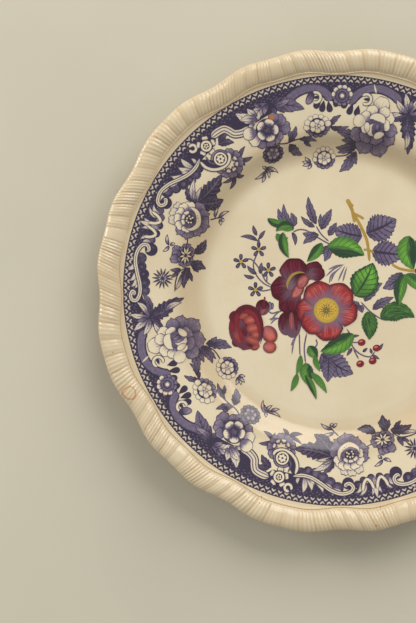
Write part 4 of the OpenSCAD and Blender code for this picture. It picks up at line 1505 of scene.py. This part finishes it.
class PaintGreenery(bpy.types.Operator):
    """Paints the leaves green, the stamens yellow and the twig ochre"""
    bl_idname = "dinner_plate.paint_greenery"
    bl_label = "Paint the greenery"

    def execute(self, context):
        scene = context.scene
        face = Face(scene.plate_profile)
        paint = scene.plate_enamel
        green = painted_enamel("Green enamel", paint.grass, paint.grass, paint.bottle, paint.bottle,
                               fringe=4.0)
        yellow = painted_enamel("Yellow enamel", paint.yolk, paint.yolk, paint.umber, paint.umber)
        ochre = painted_enamel("Ochre enamel", paint.yolk, paint.ochre, paint.umber, paint.umber)
        lay(Film(face, 0.17), (draw_greens,), "painted_leaves", "leaf_enamel", "green_enamel", green)
        lay(Film(face, 0.42), (draw_stamens,), "painted_stamens", "stamen_enamel", "yellow_enamel", yellow)
        lay(Film(face, 0.08), (draw_woody_stem,), "painted_twig", "stem_enamel", "ochre_enamel", ochre)
        return {"FINISHED"}


class SetStage(bpy.types.Operator):
    """Sets the table, a large window, a pale wall and the camera straight above"""
    bl_idname = "dinner_plate.set_stage"
    bl_label = "Set the stage"

    def execute(self, context):
        scene = context.scene
        bm = bmesh.new()
        bmesh.ops.create_grid(bm, x_segments=2, y_segments=2, size=2)
        mesh = bpy.data.meshes.new("table")
        bm.to_mesh(mesh)
        bm.free()
        mesh.materials.append(painted_table(scene.plate_stage))
        table = bpy.data.objects.new("table", mesh)
        scene.collection.objects.link(table)
        stage = scene.plate_stage
        lamp("window", stage.window_power, (2.1, 1.9), (0.87, 1.89, 1.47), (1.0, 0.98, 0.955))
        lamp("wall", stage.wall_power, (0.4, 0.5), (-1.2, 0.45, 0.38), (1.0, 0.98, 0.96))
        world = bpy.data.worlds.new("room")
        world.use_nodes = True
        background = world.node_tree.nodes["Background"]
        background.inputs[0].default_value = opaque(stage.room)
        background.inputs[1].default_value = stage.room_strength
        scene.world = world
        camera = bpy.data.objects.new("camera", bpy.data.cameras.new("camera"))
        camera.location = (CAMERA_X, CAMERA_Y, RIM_Z + CAMERA_RISE)
        camera.data.lens = camera.data.sensor_width * CAMERA_RISE / VIEW_HEIGHT
        scene.collection.objects.link(camera)
        scene.camera = camera
        scene.view_settings.view_transform = "Standard"
        return {"FINISHED"}


class PlatePanel(bpy.types.Panel):
    """Lists the steps and the sizes and colours they use"""
    bl_idname = "VIEW3D_PT_dinner_plate"
    bl_label = "Dinner plate"
    bl_space_type = "VIEW_3D"
    bl_region_type = "UI"
    bl_category = "Dinner plate"

    def draw(self, context):
        layout = self.layout
        for step in STEPS:
            layout.operator(step.bl_idname)
        for name in SETTINGS:
            box = layout.box()
            group = getattr(context.scene, name)
            for key in group.__annotations__:
                box.prop(group, key)


SETTINGS = {"plate_profile": PlateProfile, "plate_edge": GadroonEdge, "plate_glaze": GlazeColours,
            "plate_print": PrintColours, "plate_enamel": EnamelColours, "plate_stage": StageSettings}
STEPS = (MakeClay, MakeGadroon, PrintBorder, PrintBouquet, PaintFlowers, PaintGreenery, SetStage)


def register():
    for group in SETTINGS.values():
        bpy.utils.register_class(group)
    for name, group in SETTINGS.items():
        setattr(bpy.types.Scene, name, PointerProperty(type=group))
    for step in (*STEPS, PlatePanel):
        bpy.utils.register_class(step)


def unregister():
    for step in (*STEPS, PlatePanel):
        bpy.utils.unregister_class(step)
    for name in SETTINGS:
        delattr(bpy.types.Scene, name)
    for group in SETTINGS.values():
        bpy.utils.unregister_class(group)


def main():
    register()
    bpy.ops.dinner_plate.set_stage()
    bpy.ops.dinner_plate.make_clay()
    bpy.ops.dinner_plate.make_gadroon()
    bpy.ops.dinner_plate.print_border()
    bpy.ops.dinner_plate.print_bouquet()
    bpy.ops.dinner_plate.paint_flowers()
    bpy.ops.dinner_plate.paint_greenery()


if __name__ == "__main__":
    main()
